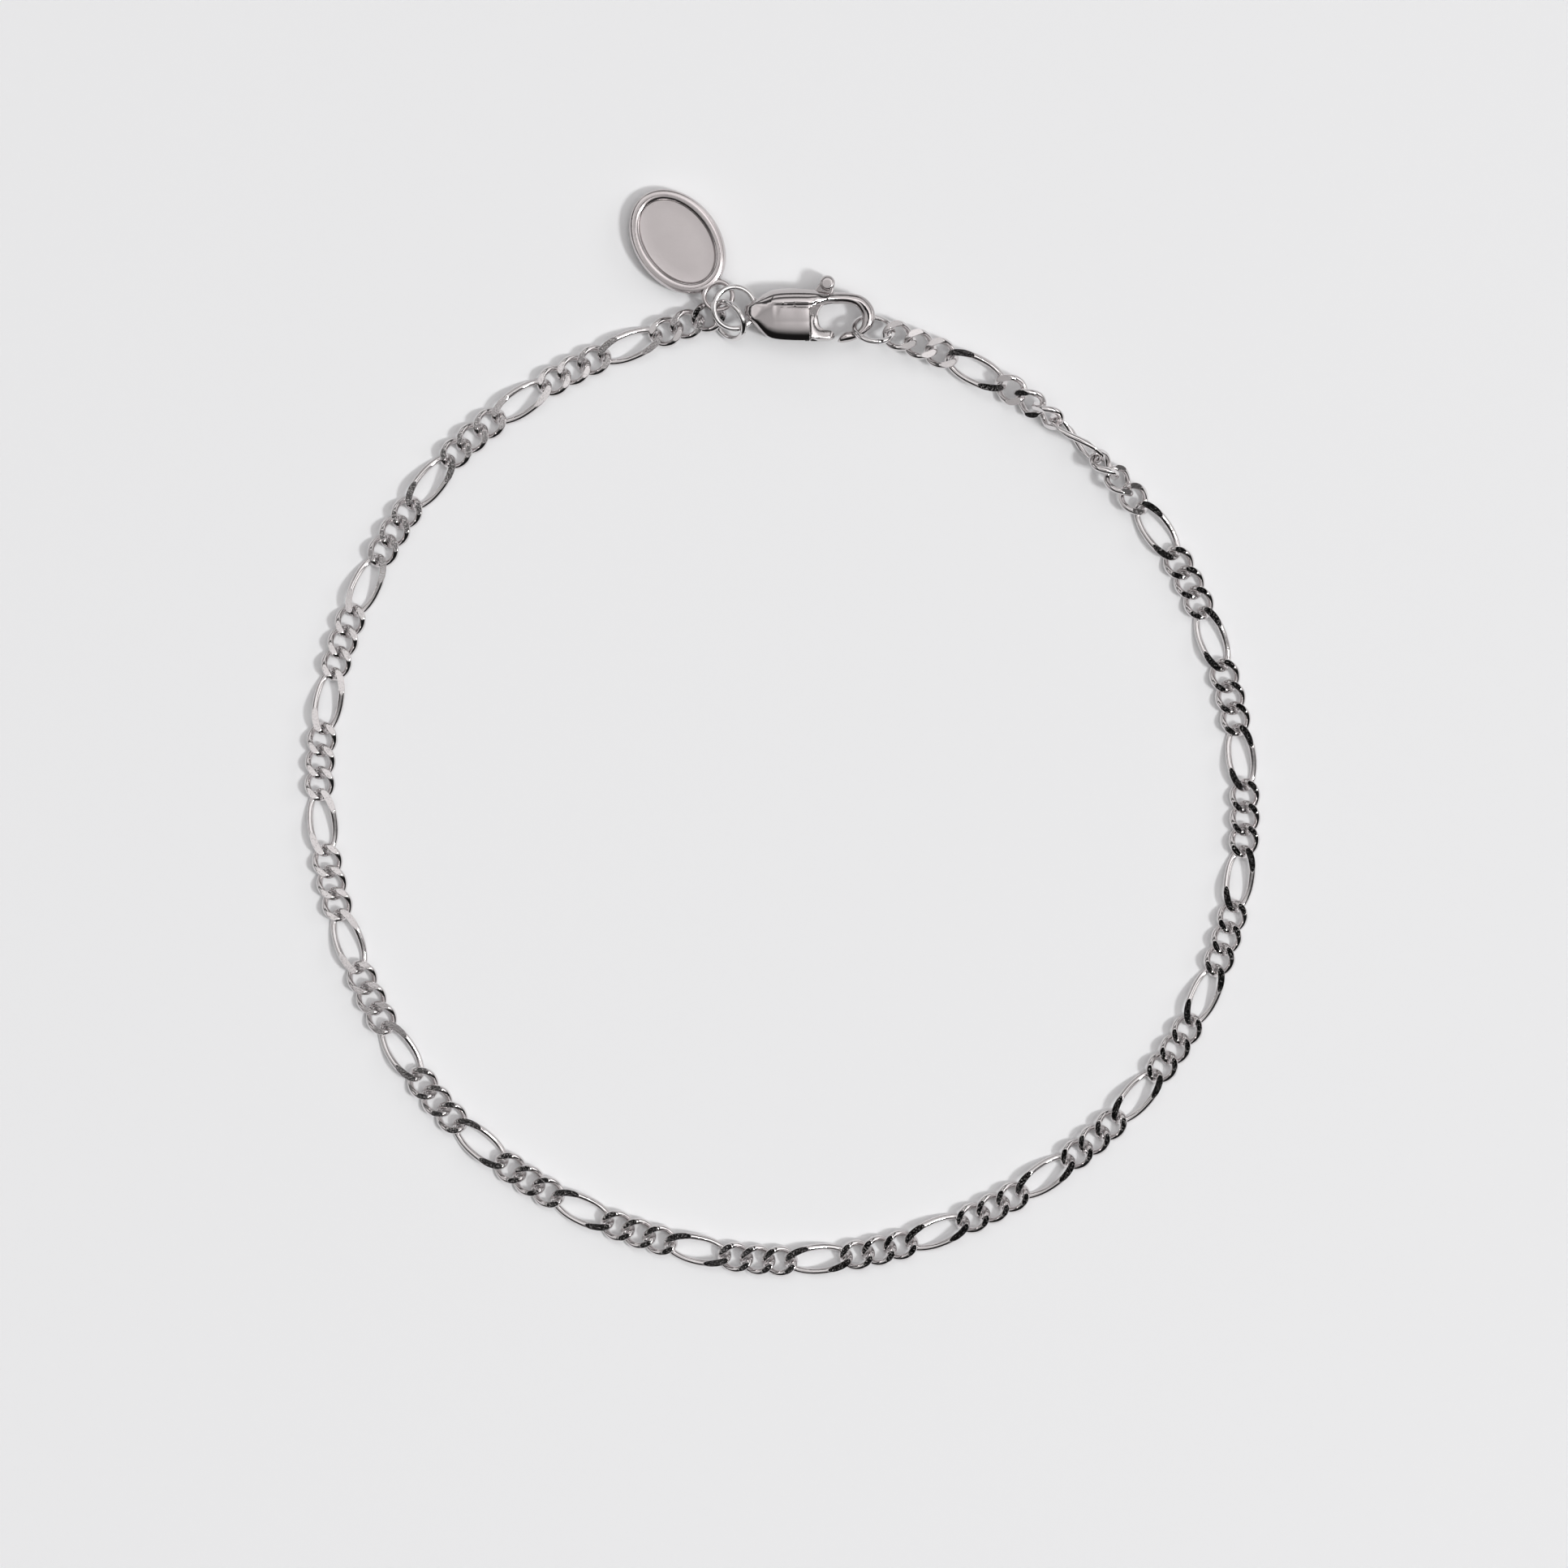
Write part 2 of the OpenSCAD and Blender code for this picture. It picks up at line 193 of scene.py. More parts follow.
def unit_route(angle):
    """Point of the loop at that angle, for a mean radius of 1."""
    count = len(ROUTE_SHARES)
    step = 360 / count
    i = math.floor(angle / step)
    near = [ROUTE_SHARES[(i + k) % count] for k in (-1, 0, 1, 2)]
    share = cubic(*near, angle / step - i)
    return share * np.array([math.cos(math.radians(angle)), math.sin(math.radians(angle))])


def half_gap_route(half_gap, samples=360):
    """The loop, open by a gap at the clasp."""
    span = 360 - 2 * half_gap
    start = CLASP_DIRECTION + half_gap
    return np.array([unit_route(start + span * i / samples) for i in range(samples + 1)])


def running_length(points):
    """Length of the line up to each of its points."""
    steps = np.linalg.norm(np.diff(points, axis=0), axis=1)
    return np.concatenate([[0], np.cumsum(steps)])


def turned(p, degrees):
    """The level point p, turned about the origin."""
    c, s = math.cos(math.radians(degrees)), math.sin(math.radians(degrees))
    return np.array([p[0] * c - p[1] * s, p[0] * s + p[1] * c])


def ring_places():
    """Middles of the jump rings and of the tag's loop, in the clasp's frame."""
    turn = math.radians(TAG_RING_TURN)
    rise = math.radians(TAG_RING_RISE)
    hang = np.array([EYE[0] + RING_HANG, EYE[1], CLASP_Z])
    out = np.array([-math.cos(turn) * math.cos(rise), -math.sin(turn) * math.cos(rise),
                    math.sin(rise)])
    tag_ring = hang + TAG_RING_R * out
    start_ring = tag_ring + TAG_RING_R * START_RING_SHARE
    return {
        "tag ring": tag_ring,
        "start ring": start_ring,
        "tag loop": start_ring + START_RING_R * TAG_LOOP_SHARE,
        "catch ring": np.array([*(HOOK_MIDDLE + HOOK_R * CATCH_RING_SHARE), CATCH_RING_Z]),
    }


def joint_length(j):
    """Length of the chain up to joint j."""
    long_pitch = LONG_INNER - LINK_PLAY
    short_pitch = SHORT_INNER - LINK_PLAY
    run = long_pitch + (PERIOD - 1) * short_pitch
    return (j // PERIOD) * run + (j % PERIOD) * short_pitch


def chain_ends():
    """Where the chain starts at the start ring and ends at the catch ring, in the clasp's frame."""
    places = ring_places()
    turn = math.radians(CATCH_RING_TURN)
    reach = CATCH_RING_R - RING_WIRE / 2 - LINK_PLAY
    start = places["start ring"][:2] + START_RING_R * CHAIN_START_SHARE
    end = places["catch ring"][:2] + reach * np.array([math.cos(turn), math.sin(turn)])
    return start, end


def fitted_route(span):
    """The loop as long as the chain, open by a gap that the clasp and its rings just fill."""
    length = joint_length(LINK_COUNT)
    half_gap = START_HALF_GAP
    for _ in range(FIT_ROUNDS):
        route = half_gap_route(half_gap)
        gap = np.linalg.norm(route[-1] - route[0])
        half_gap *= span * running_length(route)[-1] / (length * gap)
    route = half_gap_route(half_gap)
    return route * (length / running_length(route)[-1])


def fit_chain():
    """Joints between links in the CAD frame, and the clasp's place and turn."""
    chain_start, chain_end = chain_ends()
    local = chain_end - chain_start
    route = fitted_route(np.linalg.norm(local))
    along = running_length(route)
    ends = route[-1] - route[0]
    clasp_turn = math.degrees(math.atan2(ends[1], ends[0]) - math.atan2(local[1], local[0]))
    clasp_at = route[0] - turned(chain_start, clasp_turn)
    joints = []
    for j in range(LINK_COUNT + 1):
        s = joint_length(j)
        lift = rows_at(LINK_COUNT - j, END_LIFT_ROWS) + rows_at(j, START_LIFT_ROWS)
        height = CHAIN_THICKNESS / 2 + LINK_WIDTH / 2 * lift
        joints.append(np.array([np.interp(s, along, route[:, 0]),
                                np.interp(s, along, route[:, 1]), height]))
    return joints, clasp_at, clasp_turn


JOINTS, CLASP_AT, CLASP_TURN = fit_chain()
CLASP_FRAME = (Matrix.Scale(MM, 4) @ Matrix.Translation((*CLASP_AT, 0))
               @ rotation(CLASP_TURN, "Z"))
CLASP_MIDDLE = CLASP_FRAME @ Matrix.Translation((0, 0, CLASP_Z))


def link_place(k):
    """Middle and turn of link k, counted from the neck's end."""
    start, end = JOINTS[k], JOINTS[k + 1]
    along = unit(end - start)
    level = unit(np.cross([0, 0, 1], along))
    up = np.cross(along, level)
    roll = math.radians(rows_at(LINK_COUNT - 1 - k, ROLL_ROWS))
    side = math.cos(roll) * level + math.sin(roll) * up
    columns = np.stack([along, side, np.cross(along, side)], axis=1)
    return (start + end) / 2, Matrix(columns.tolist()).to_quaternion()


# Materials

# Features per metre of the noise in each metal
PLATE_CLOUDS = 450
PLATE_GRAIN = 9000
PLATE_PITS = 3500.0
LINK_CLOUDS = 300
LINK_GRAIN = 12000
LINK_WAVES = 3000
TAG_CLOUDS = 400
TAG_GRAIN = 7000
# Noise value at which polished metal is smoothest, the one at which it is roughest, and how much
# its roughness grows between the two on the plated pieces
GRAIN_LOW = 0.35
GRAIN_HIGH = 0.7
PLATE_ROUGHER = 0.05
# Roughness at the smoothest and at the roughest places of the links' round wire, the same for
# their ground flats, and the noise values between which a flat goes from one to the other
LINK_POLISH = (0.04, 0.09)
FLAT_POLISH = (0.04, 0.22)
FLAT_SPECKS = (0.56, 0.66)
# Share of the grain in the links' relief, and its depth in millimetres
LINK_GRAIN_SHARE = 0.06
LINK_RELIEF = 0.006
# Roughness at the smoothest and at the roughest places of the tag's rim, the same for its field,
# the noise values between which both go from one to the other, and the grain's depth in
# millimetres
RIM_POLISH = (0.1, 0.2)
FIELD_SATIN = (0.3, 0.42)
TAG_NOISE = (0.3, 0.7)
TAG_RELIEF = 0.003


def new_material(name):
    """An empty material and its node tree."""
    material = bpy.data.materials.new(name)
    material.use_nodes = True
    material.node_tree.nodes.clear()
    return material, material.node_tree


def noise(tree, place, scale, detail=4.0, roughness=0.6):
    """Noise of that many features per metre."""
    return add(tree, "ShaderNodeTexNoise", {
        "Vector": place, "Scale": scale, "Detail": detail, "Roughness": roughness,
    }).outputs["Fac"]


def ramp(tree, value, low, high, start, end):
    """Maps value from low..high to start..end, held inside it."""
    return add(tree, "ShaderNodeMapRange", {
        "Value": value, "From Min": low, "From Max": high, "To Min": start, "To Max": end,
    }).outputs["Result"]


def clouded(tree, place, scale, first, second):
    """Colour that drifts from one tint to the other in soft clouds."""
    mixed = add(tree, "ShaderNodeMix", {
        "Factor": noise(tree, place, scale), "A": linear(first), "B": linear(second),
    }, data_type="RGBA")
    return mixed.outputs["Result"]


def blend(tree, share, first, second):
    """Number that goes from the first value to the second."""
    mixed = add(tree, "ShaderNodeMix", {"Factor": share, "A": first, "B": second},
                data_type="FLOAT")
    return mixed.outputs["Result"]


def finish_metal(tree, tone, rough, height, depth):
    """Closes a metal's tree, with its relief as deep as depth says in millimetres."""
    bump = add(tree, "ShaderNodeBump", {
        "Height": height, "Strength": 1.0, "Distance": depth * MM,
    })
    shader = add(tree, "ShaderNodeBsdfPrincipled", {
        "Base Color": tone, "Metallic": 1.0, "Roughness": rough,
        "Normal": bump.outputs["Normal"],
    })
    add(tree, "ShaderNodeOutputMaterial", {"Surface": shader.outputs[0]})


def plated_metal(name, tint, smooth, relief, pit_share):
    """Polished metal: a cool mirror with fine grain, and rare pits where it is cast."""
    material, tree = new_material(name)
    place = add(tree, "ShaderNodeTexCoord").outputs["Object"]
    tone = clouded(tree, place, PLATE_CLOUDS, *tint)
    fine = noise(tree, place, PLATE_GRAIN, detail=2.0)
    rough = ramp(tree, fine, GRAIN_LOW, GRAIN_HIGH, smooth, smooth + PLATE_ROUGHER)
    cells = add(tree, "ShaderNodeTexVoronoi", {"Vector": place, "Scale": PLATE_PITS})
    pit = ramp(tree, cells.outputs["Distance"], 0.0, pit_share, 1.0, 0.0)
    finish_metal(tree, tone, rough, calc(tree, "SUBTRACT", fine, pit), relief)
    return material


def ground_metal():
    """Plated links: softly waved round wire, with top and bottom ground flat and speckled."""
    material, tree = new_material("rhodium_polished_ground_links")
    place = add(tree, "ShaderNodeTexCoord").outputs["Object"]
    flat = add(tree, "ShaderNodeAttribute", attribute_name="flat").outputs["Fac"]
    tone = clouded(tree, place, LINK_CLOUDS, "#D6D2D2", "#E9E6E6")
    grain = noise(tree, place, LINK_GRAIN, detail=2.0)
    polish = ramp(tree, grain, GRAIN_LOW, GRAIN_HIGH, *LINK_POLISH)
    speck = ramp(tree, grain, *FLAT_SPECKS, *FLAT_POLISH)
    wave = noise(tree, place, LINK_WAVES, detail=1.0)
    round_part = calc(tree, "SUBTRACT", 1.0, flat)
    relief = calc(tree, "ADD", calc(tree, "MULTIPLY", wave, round_part),
                  calc(tree, "MULTIPLY", grain, LINK_GRAIN_SHARE))
    finish_metal(tree, tone, blend(tree, flat, polish, speck), relief, LINK_RELIEF)
    return material


def satin_metal():
    """The tag: polished rim round a satin field, both with a fine even grain."""
    material, tree = new_material("rhodium_satin_field_tag")
    place = add(tree, "ShaderNodeTexCoord").outputs["Object"]
    field = add(tree, "ShaderNodeAttribute", attribute_name="field").outputs["Fac"]
    tone = clouded(tree, place, TAG_CLOUDS, "#C9C3C3", "#D6D0D0")
    grain = noise(tree, place, TAG_GRAIN, roughness=0.65)
    rim = ramp(tree, grain, *TAG_NOISE, *RIM_POLISH)
    satin = ramp(tree, grain, *TAG_NOISE, *FIELD_SATIN)
    finish_metal(tree, tone, blend(tree, field, rim, satin), grain, TAG_RELIEF)
    return material


# Links, made by a Geometry Nodes tree

LINK_INPUTS = [
    ("Inner Length", LONG_INNER), ("Width", LINK_WIDTH), ("Wire", LINK_WIRE),
    ("Twist", LINK_TWIST), ("Power", LONG_POWER), ("Top", LONG_TOP),
    ("Bottom", -CHAIN_THICKNESS / 2),
]
# Side of the slab that a link is ground down to, and how level a face of it has to be
SLAB_SIDE = 20
LEVEL_FROM = 0.999


def signed_power(tree, value, exponent):
    """Power of the value's size, with the value's sign."""
    size = calc(tree, "POWER", calc(tree, "ABSOLUTE", value), exponent)
    return calc(tree, "MULTIPLY", calc(tree, "SIGN", value), size)


def open_sockets(tree):
    """Names the tree's inputs and its output."""
    new = tree.interface.new_socket
    new("Points", in_out="INPUT", socket_type="NodeSocketGeometry")
    for name, value in LINK_INPUTS:
        socket = new(name, in_out="INPUT", socket_type="NodeSocketFloat")
        socket.default_value = value
    for name, value in (("Rings", LONG_RINGS), ("Sides", LINK_SIDES)):
        socket = new(name, in_out="INPUT", socket_type="NodeSocketInt")
        socket.default_value = value
    new("Material", in_out="INPUT", socket_type="NodeSocketMaterial")
    new("Links", in_out="OUTPUT", socket_type="NodeSocketGeometry")


def twisted_oval(tree, given):
    """Middle line of a link: an oval whose ends are turned against its middle."""
    index = add(tree, "GeometryNodeInputIndex").outputs[0]
    part = calc(tree, "DIVIDE", index, given["Rings"])
    angle = calc(tree, "MULTIPLY", part, 2 * math.pi)
    exponent = calc(tree, "DIVIDE", 2.0, given["Power"])
    across = signed_power(tree, calc(tree, "SINE", angle), exponent)
    along = signed_power(tree, calc(tree, "COSINE", angle), exponent)
    twist = calc(tree, "RADIANS", calc(tree, "MULTIPLY", given["Twist"], -1.0))
    turn = calc(tree, "MULTIPLY", twist, along)
    wire_length = calc(tree, "ADD", given["Inner Length"], CAD_WIRE)
    wire_width = calc(tree, "SUBTRACT", given["Width"], CAD_WIRE)
    half_length = calc(tree, "MULTIPLY", wire_length, MM / 2)
    half_width = calc(tree, "MULTIPLY", wire_width, MM / 2)
    side = calc(tree, "MULTIPLY", across, half_width)
    spot = add(tree, "ShaderNodeCombineXYZ", {
        "X": calc(tree, "MULTIPLY", along, half_length),
        "Y": calc(tree, "MULTIPLY", side, calc(tree, "COSINE", turn)),
        "Z": calc(tree, "MULTIPLY", side, calc(tree, "SINE", turn)),
    })
    circle = add(tree, "GeometryNodeCurvePrimitiveCircle", {"Resolution": given["Rings"]})
    bent = add(tree, "GeometryNodeSetPosition", {
        "Geometry": circle.outputs["Curve"], "Position": spot.outputs[0],
    })
    return bent.outputs[0]


def round_wire(tree, given, line):
    """Round wire along the line."""
    section = add(tree, "GeometryNodeCurvePrimitiveCircle", {
        "Resolution": given["Sides"],
        "Radius": calc(tree, "MULTIPLY", given["Wire"], MM / 2),
    })
    wire = add(tree, "GeometryNodeCurveToMesh", {
        "Curve": line, "Profile Curve": section.outputs["Curve"],
    })
    return wire.outputs[0]


def ground_flat(tree, given, wire):
    """The wire ground flat at the top and bottom, with its flats marked and sharp-edged."""
    thickness = calc(tree, "SUBTRACT", given["Top"], given["Bottom"])
    middle = calc(tree, "MULTIPLY", calc(tree, "ADD", given["Top"], given["Bottom"]), MM / 2)
    slab_size = add(tree, "ShaderNodeCombineXYZ", {
        "X": SLAB_SIDE * MM, "Y": SLAB_SIDE * MM, "Z": calc(tree, "MULTIPLY", thickness, MM),
    })
    cube = add(tree, "GeometryNodeMeshCube", {"Size": slab_size.outputs[0]})
    slab_middle = add(tree, "ShaderNodeCombineXYZ", {"Z": middle})
    slab = add(tree, "GeometryNodeTransform", {
        "Geometry": cube.outputs["Mesh"], "Translation": slab_middle.outputs[0],
    })
    ground = add(tree, "GeometryNodeMeshBoolean", operation="INTERSECT", solver="EXACT")
    tree.links.new(wire, ground.inputs["Mesh 2"])
    tree.links.new(slab.outputs[0], ground.inputs["Mesh 2"])
    normal = add(tree, "GeometryNodeInputNormal").outputs[0]
    rise = add(tree, "ShaderNodeSeparateXYZ", {0: normal}).outputs["Z"]
    is_flat = calc(tree, "GREATER_THAN", calc(tree, "ABSOLUTE", rise), LEVEL_FROM)
    marked = add(tree, "GeometryNodeStoreNamedAttribute", {
        "Geometry": ground.outputs["Mesh"], "Name": "flat", "Value": is_flat,
    }, data_type="FLOAT", domain="FACE")
    smooth = add(tree, "GeometryNodeSetShadeSmooth", {"Geometry": marked.outputs[0]})
    sharp = add(tree, "GeometryNodeSetShadeSmooth", {
        "Geometry": smooth.outputs[0], "Selection": is_flat, "Shade Smooth": False,
    }, domain="FACE")
    return sharp.outputs[0]


def link_tree():
    """One twisted oval link with ground flats, set on every point that the tree is given."""
    tree = bpy.data.node_groups.new("twisted_oval_links", "GeometryNodeTree")
    open_sockets(tree)
    given = tree.nodes.new("NodeGroupInput").outputs
    link = ground_flat(tree, given, round_wire(tree, given, twisted_oval(tree, given)))
    turned_by = add(tree, "GeometryNodeInputNamedAttribute", {"Name": "turned"},
                    data_type="QUATERNION")
    placed = add(tree, "GeometryNodeInstanceOnPoints", {
        "Points": given["Points"], "Instance": link, "Rotation": turned_by.outputs["Attribute"],
    })
    real = add(tree, "GeometryNodeRealizeInstances", {"Geometry": placed.outputs[0]})
    painted = add(tree, "GeometryNodeSetMaterial", {
        "Geometry": real.outputs[0], "Material": given["Material"],
    })
    add(tree, "NodeGroupOutput", {0: painted.outputs[0]})
    return tree


def links(name, tree, numbers, inputs, material):
    """Runs the tree on the places of these links and keeps the result as a plain mesh."""
    places = [link_place(k) for k in numbers]
    mesh = bpy.data.meshes.new(name + "_points")
    mesh.from_pydata([tuple(p * MM) for p, _ in places], [], [])
    turns = mesh.attributes.new("turned", "QUATERNION", "POINT")
    turns.data.foreach_set("value", np.array([list(q) for _, q in places]).ravel())
    holder = bpy.data.objects.new(name + "_holder", mesh)
    bpy.context.scene.collection.objects.link(holder)
    modifier = holder.modifiers.new("links", "NODES")
    modifier.node_group = tree
    wanted = dict(inputs, Material=material)
    for item in tree.interface.items_tree:
        if item.in_out == "INPUT" and item.name in wanted:
            modifier[item.identifier] = wanted[item.name]
    bpy.context.view_layer.update()
    evaluated = holder.evaluated_get(bpy.context.evaluated_depsgraph_get())
    made = bpy.data.meshes.new_from_object(evaluated)
    bpy.data.objects.remove(holder)
    return piece(name, made, material)


# Meshes of the cast and bent pieces

# Faces that meet at more than this many radians have a sharp edge between them
SHARP_ANGLE = 0.6
# Material of the cutters, none of which is kept
PLAIN = bpy.data.materials.new("cutter")


def piece(name, mesh, material):
    """An object of its own for a mesh, with its material."""
    mesh.name = name
    if material.name not in [m.name for m in mesh.materials if m]:
        mesh.materials.append(material)
    made = bpy.data.objects.new(name, mesh)
    bpy.context.scene.collection.objects.link(made)
    return made


def smooth_path(points, count, closed=False):
    """Points of a rounded line through the given ones, each a row of numbers."""
    p = np.array(points, float)
    n = len(p)
    spans = n if closed else n - 1
    out = []
    for t in np.linspace(0, spans, count, endpoint=not closed):
        i = min(int(t), spans - 1)
        near = [(i + k) % n if closed else min(max(i + k, 0), n - 1) for k in (-1, 0, 1, 2)]
        out.append(cubic(*(p[k] for k in near), t - i))
    return np.array(out)


def skin(rings, closed=False):
    """Vertices and faces of a tube through rings of points, capped unless it closes on itself."""
    count = len(rings)
    sides = len(rings[0])
    faces = []
    for i in range(count if closed else count - 1):
        a, b = i * sides, ((i + 1) % count) * sides
        for k in range(sides):
            n = (k + 1) % sides
            faces.append((a + k, a + n, b + n, b + k))
    if not closed:
        faces.append(tuple(range(sides))[::-1])
        faces.append(tuple((count - 1) * sides + k for k in range(sides)))
    return np.concatenate(rings), faces


def sweep(path, half_width, half_height, sides, closed=False):
    """Rings of a round or oval section carried along a path in the level plane."""
    count = len(path)
    path = np.column_stack([path, np.zeros(count)])
    width = np.broadcast_to(half_width, count)
    height = np.broadcast_to(half_height, count)
    if closed:
        ahead, behind = np.roll(path, -1, 0), np.roll(path, 1, 0)
    else:
        ahead, behind = np.vstack([path[1:], path[-1:]]), np.vstack([path[:1], path[:-1]])
    cx, cy = unit_circle(sides)
    rings = []
    for i in range(count):
        along = unit(ahead[i] - behind[i])
        across = unit(np.cross([0, 0, 1], along))
        up = np.cross(along, across)
        rings.append(path[i] + width[i] * cx[:, None] * across + height[i] * cy[:, None] * up)
    return rings


def build(name, parts, place, material):
    """Joins parts, each a pair of vertices and faces, into one mesh put in its place."""
    bm = bmesh.new()
    for vertices, faces in parts:
        made = [bm.verts.new(v) for v in vertices]
        for f in faces:
            bm.faces.new([made[k] for k in f])
    bmesh.ops.recalc_face_normals(bm, faces=bm.faces)
    bm.transform(place)
    for f in bm.faces:
        f.smooth = True
    for e in bm.edges:
        if len(e.link_faces) == 2 and e.calc_face_angle() > SHARP_ANGLE:
            e.smooth = False
    mesh = bpy.data.meshes.new(name)
    bm.to_mesh(mesh)
    bm.free()
    return piece(name, mesh, material)


def cut(body, cutter):
    """Takes the cutter out of the body, and removes the cutter."""
    modifier = body.modifiers.new("cut", "BOOLEAN")
    modifier.operation = "DIFFERENCE"
    modifier.solver = "EXACT"
    modifier.object = cutter
    bpy.context.view_layer.update()
    evaluated = body.evaluated_get(bpy.context.evaluated_depsgraph_get())
    mesh = bpy.data.meshes.new_from_object(evaluated)
    body.modifiers.clear()
    body.data = mesh
    bpy.data.objects.remove(cutter)


def block(name, corners, low, high, place):
    """A straight-sided block over corners in the level plane, used to cut."""
    n = len(corners)
    vertices = [(x, y, low) for x, y in corners] + [(x, y, high) for x, y in corners]
    faces = [tuple(range(n))[::-1], tuple(range(n, 2 * n))]
    faces += [(k, (k + 1) % n, (k + 1) % n + n, k + n) for k in range(n)]
    return build(name, [(vertices, faces)], place, PLAIN)


def ring(name, radius, place, material):
    """A bent jump ring, its wire's ends closed with a fine seam."""
    angles = np.radians(np.linspace(HALF_SEAM, 360 - HALF_SEAM, RING_STEPS))
    path = radius * np.column_stack([np.cos(angles), np.sin(angles)])
    rings = sweep(path, SHOWN_RING_WIRE / 2, SHOWN_RING_WIRE / 2, RING_SIDES)
    return build(name, [skin(rings)], place, material)


def jump_rings(material):
    """The three jump rings, each with the CAD node that it stands for."""
    places = {name: CLASP_FRAME @ Matrix.Translation(at) for name, at in ring_places().items()}
    level = (places["tag ring"] @ rotation(TAG_RING_TURN, "Z") @ rotation(TAG_RING_RISE, "Y")
             @ rotation(TAG_RING_SEAM, "Z"))
    leaning = (places["start ring"] @ rotation(START_RING_TURN, "Z")
               @ rotation(-START_RING_TILT, "Y") @ rotation(START_RING_SEAM, "Z"))
    caught = (places["catch ring"] @ rotation(CATCH_RING_TURN, "Z")
              @ rotation(-CATCH_RING_TILT, "X") @ rotation(CATCH_RING_SEAM, "Z"))
    return [
        (ring("tag_jump_ring", TAG_RING_R, level, material), "tag_ring"),
        (ring("start_jump_ring", START_RING_R, leaning, material), "start_ring"),
        (ring("catch_jump_ring", CATCH_RING_R, caught, material), "catch_ring"),
    ]


# Outline of the clasp's casting: inner edge of the hook from the barrel's end to the beak's tip,
# then round the hook and over the top to the neck, then under the barrel
INNER_EDGE = [
    (1.45, 0.35), (1.8, 0.45), (2.3, 0.57), (2.8, 0.66), (3.4, 0.68), (4.1, 0.68), (4.62, 0.53),
    (4.98, 0.14), (5.1, -0.35), (5.0, -0.82), (4.72, -1.12), (4.3, -1.18), (3.9, -1.24),
    (3.58, -1.48), (3.36, -1.9),
]
OUTER_EDGE = [
    (3.36, -1.9), (3.7, -1.97), (4.3, -1.86), (4.8, -1.66), (5.3, -1.38), (5.72, -0.98),
    (5.93, -0.5), (5.95, 0.0), (5.8, 0.5), (5.45, 0.96), (4.95, 1.27), (4.3, 1.42), (3.6, 1.49),
    (3.1, 1.5), (2.72, 1.53), (2.3, 1.62), (1.8, 1.72), (1.1, 1.79), (0.2, 1.8), (-0.6, 1.77),
    (-1.2, 1.65), (-1.7, 1.4), (-2.15, 1.1), (-2.6, 0.85), (-2.88, 0.67), (-2.97, 0.4),
]
UNDER_EDGE = [
    (-2.97, 0.4), (-2.97, 0.08), (-2.86, -0.2), (-2.55, -0.44), (-2.25, -0.7), (-1.9, -1.07),
    (-1.55, -1.38), (-1.1, -1.6), (-0.5, -1.71), (0.3, -1.77), (1.0, -1.79), (1.45, -1.78),
]
# Place along X, half thickness, and how far the rounding reaches from the upper and under edges
CASTING_ROWS = [
    (-3.0, 0.6, 0.25, 0.25), (-2.6, 0.78, 0.3, 0.3), (-2.2, 0.93, 0.45, 0.5),
    (-1.7, 1.12, 0.9, 1.4), (-1.2, 1.26, 1.1, 2.2), (-0.85, 1.3, 1.13, 2.4),
    (0.3, 1.29, 1.13, 2.44), (1.4, 1.272, 1.1, 2.44), (2.1, 1.12, 0.8, 2.44),
    (2.9, 0.84, 0.55, 2.44), (3.7, 0.62, 0.44, 2.44), (4.6, 0.44, 0.42, 2.44),
    (5.4, 0.35, 0.42, 2.44), (6.0, 0.32, 0.42, 2.44),
]
INNER_REACH = [(1.45, 0.04), (2.0, 0.2), (2.8, 0.42)]
ROUNDING_POWER = 2.3
# Barrel's flat end, from its under edge to the hook
BARREL_END = 1.45
BARREL_END_FROM = -1.78
BARREL_END_TO = 0.35
BARREL_END_STEPS = 27
CASTING_GRID = 0.07
# Points along the rounded lines of the casting, and along the rows of its thickness
INNER_POINTS = 150
OUTER_POINTS = 230
UNDER_POINTS = 110
ROW_POINTS = 120
# Where the hook starts, and the share of its thickness that is left at places across it
HOOK_START = 3.2
HOOK_LOW_ROWS = [(-2.0, 0.72), (-0.5, 1.0)]
# Fine ridge along the top of the barrel: the share of thickness lost away from it, the step down
# beside it, how far each of these reaches across, and where along X it starts and ends
RIDGE = [(-0.9, 0.66), (0.4, 0.66), (1.55, 0.67), (1.95, 0.85), (2.4, 1.04), (3.0, 1.12)]
RIDGE_POINTS = 60
RIDGE_FALL = 0.085
RIDGE_STEP = 0.075
RIDGE_HALF = 0.075
FALL_REACH = 1.2
FALL_START = (-2.6, -0.9)
FALL_END = (3.3, 2.3)
STEP_START = (-1.35, -0.7)
STEP_END = (2.7, 1.7)
STEP_REACH = -2.4
# How much of the rounding there is at the under edge, above its upright wall
UNDER_PART = 0.9
# Mesh of a flat casting: rows of points inside its edge, the grid's own inset, and its thin edge
INSETS = (0.015, 0.04, 0.08, 0.13)
GRID_INSET = 0.17
EDGE_HALF = 0.008
# Share of its inset that a point keeps from every edge, and share of the grid's spacing that the
# grid keeps from the ridge's own points, or else the point is left out
INSET_KEPT = 0.9
RIDGE_CLEAR = 0.5
HOLE_SIDES = 40
HOLE_MARGIN = 0.02
# For the flat mesh: only what is inside the outline is kept, and corners this close are joined
INSIDE_ONLY = 1
JOIN_WITHIN = 1e-6
# Slot that the lever's tongue turns in, seen from above, and half its height
SLOT = [
    (PIVOT[0] - 0.6, PIVOT[1] - 0.55), (1.35, -2.1), (2.95, -2.1), (3.15, 2.2),
    (PIVOT[0] - 0.35, 2.2), (PIVOT[0] - 0.75, PIVOT[1]),
]
SLOT_HALF = 0.5
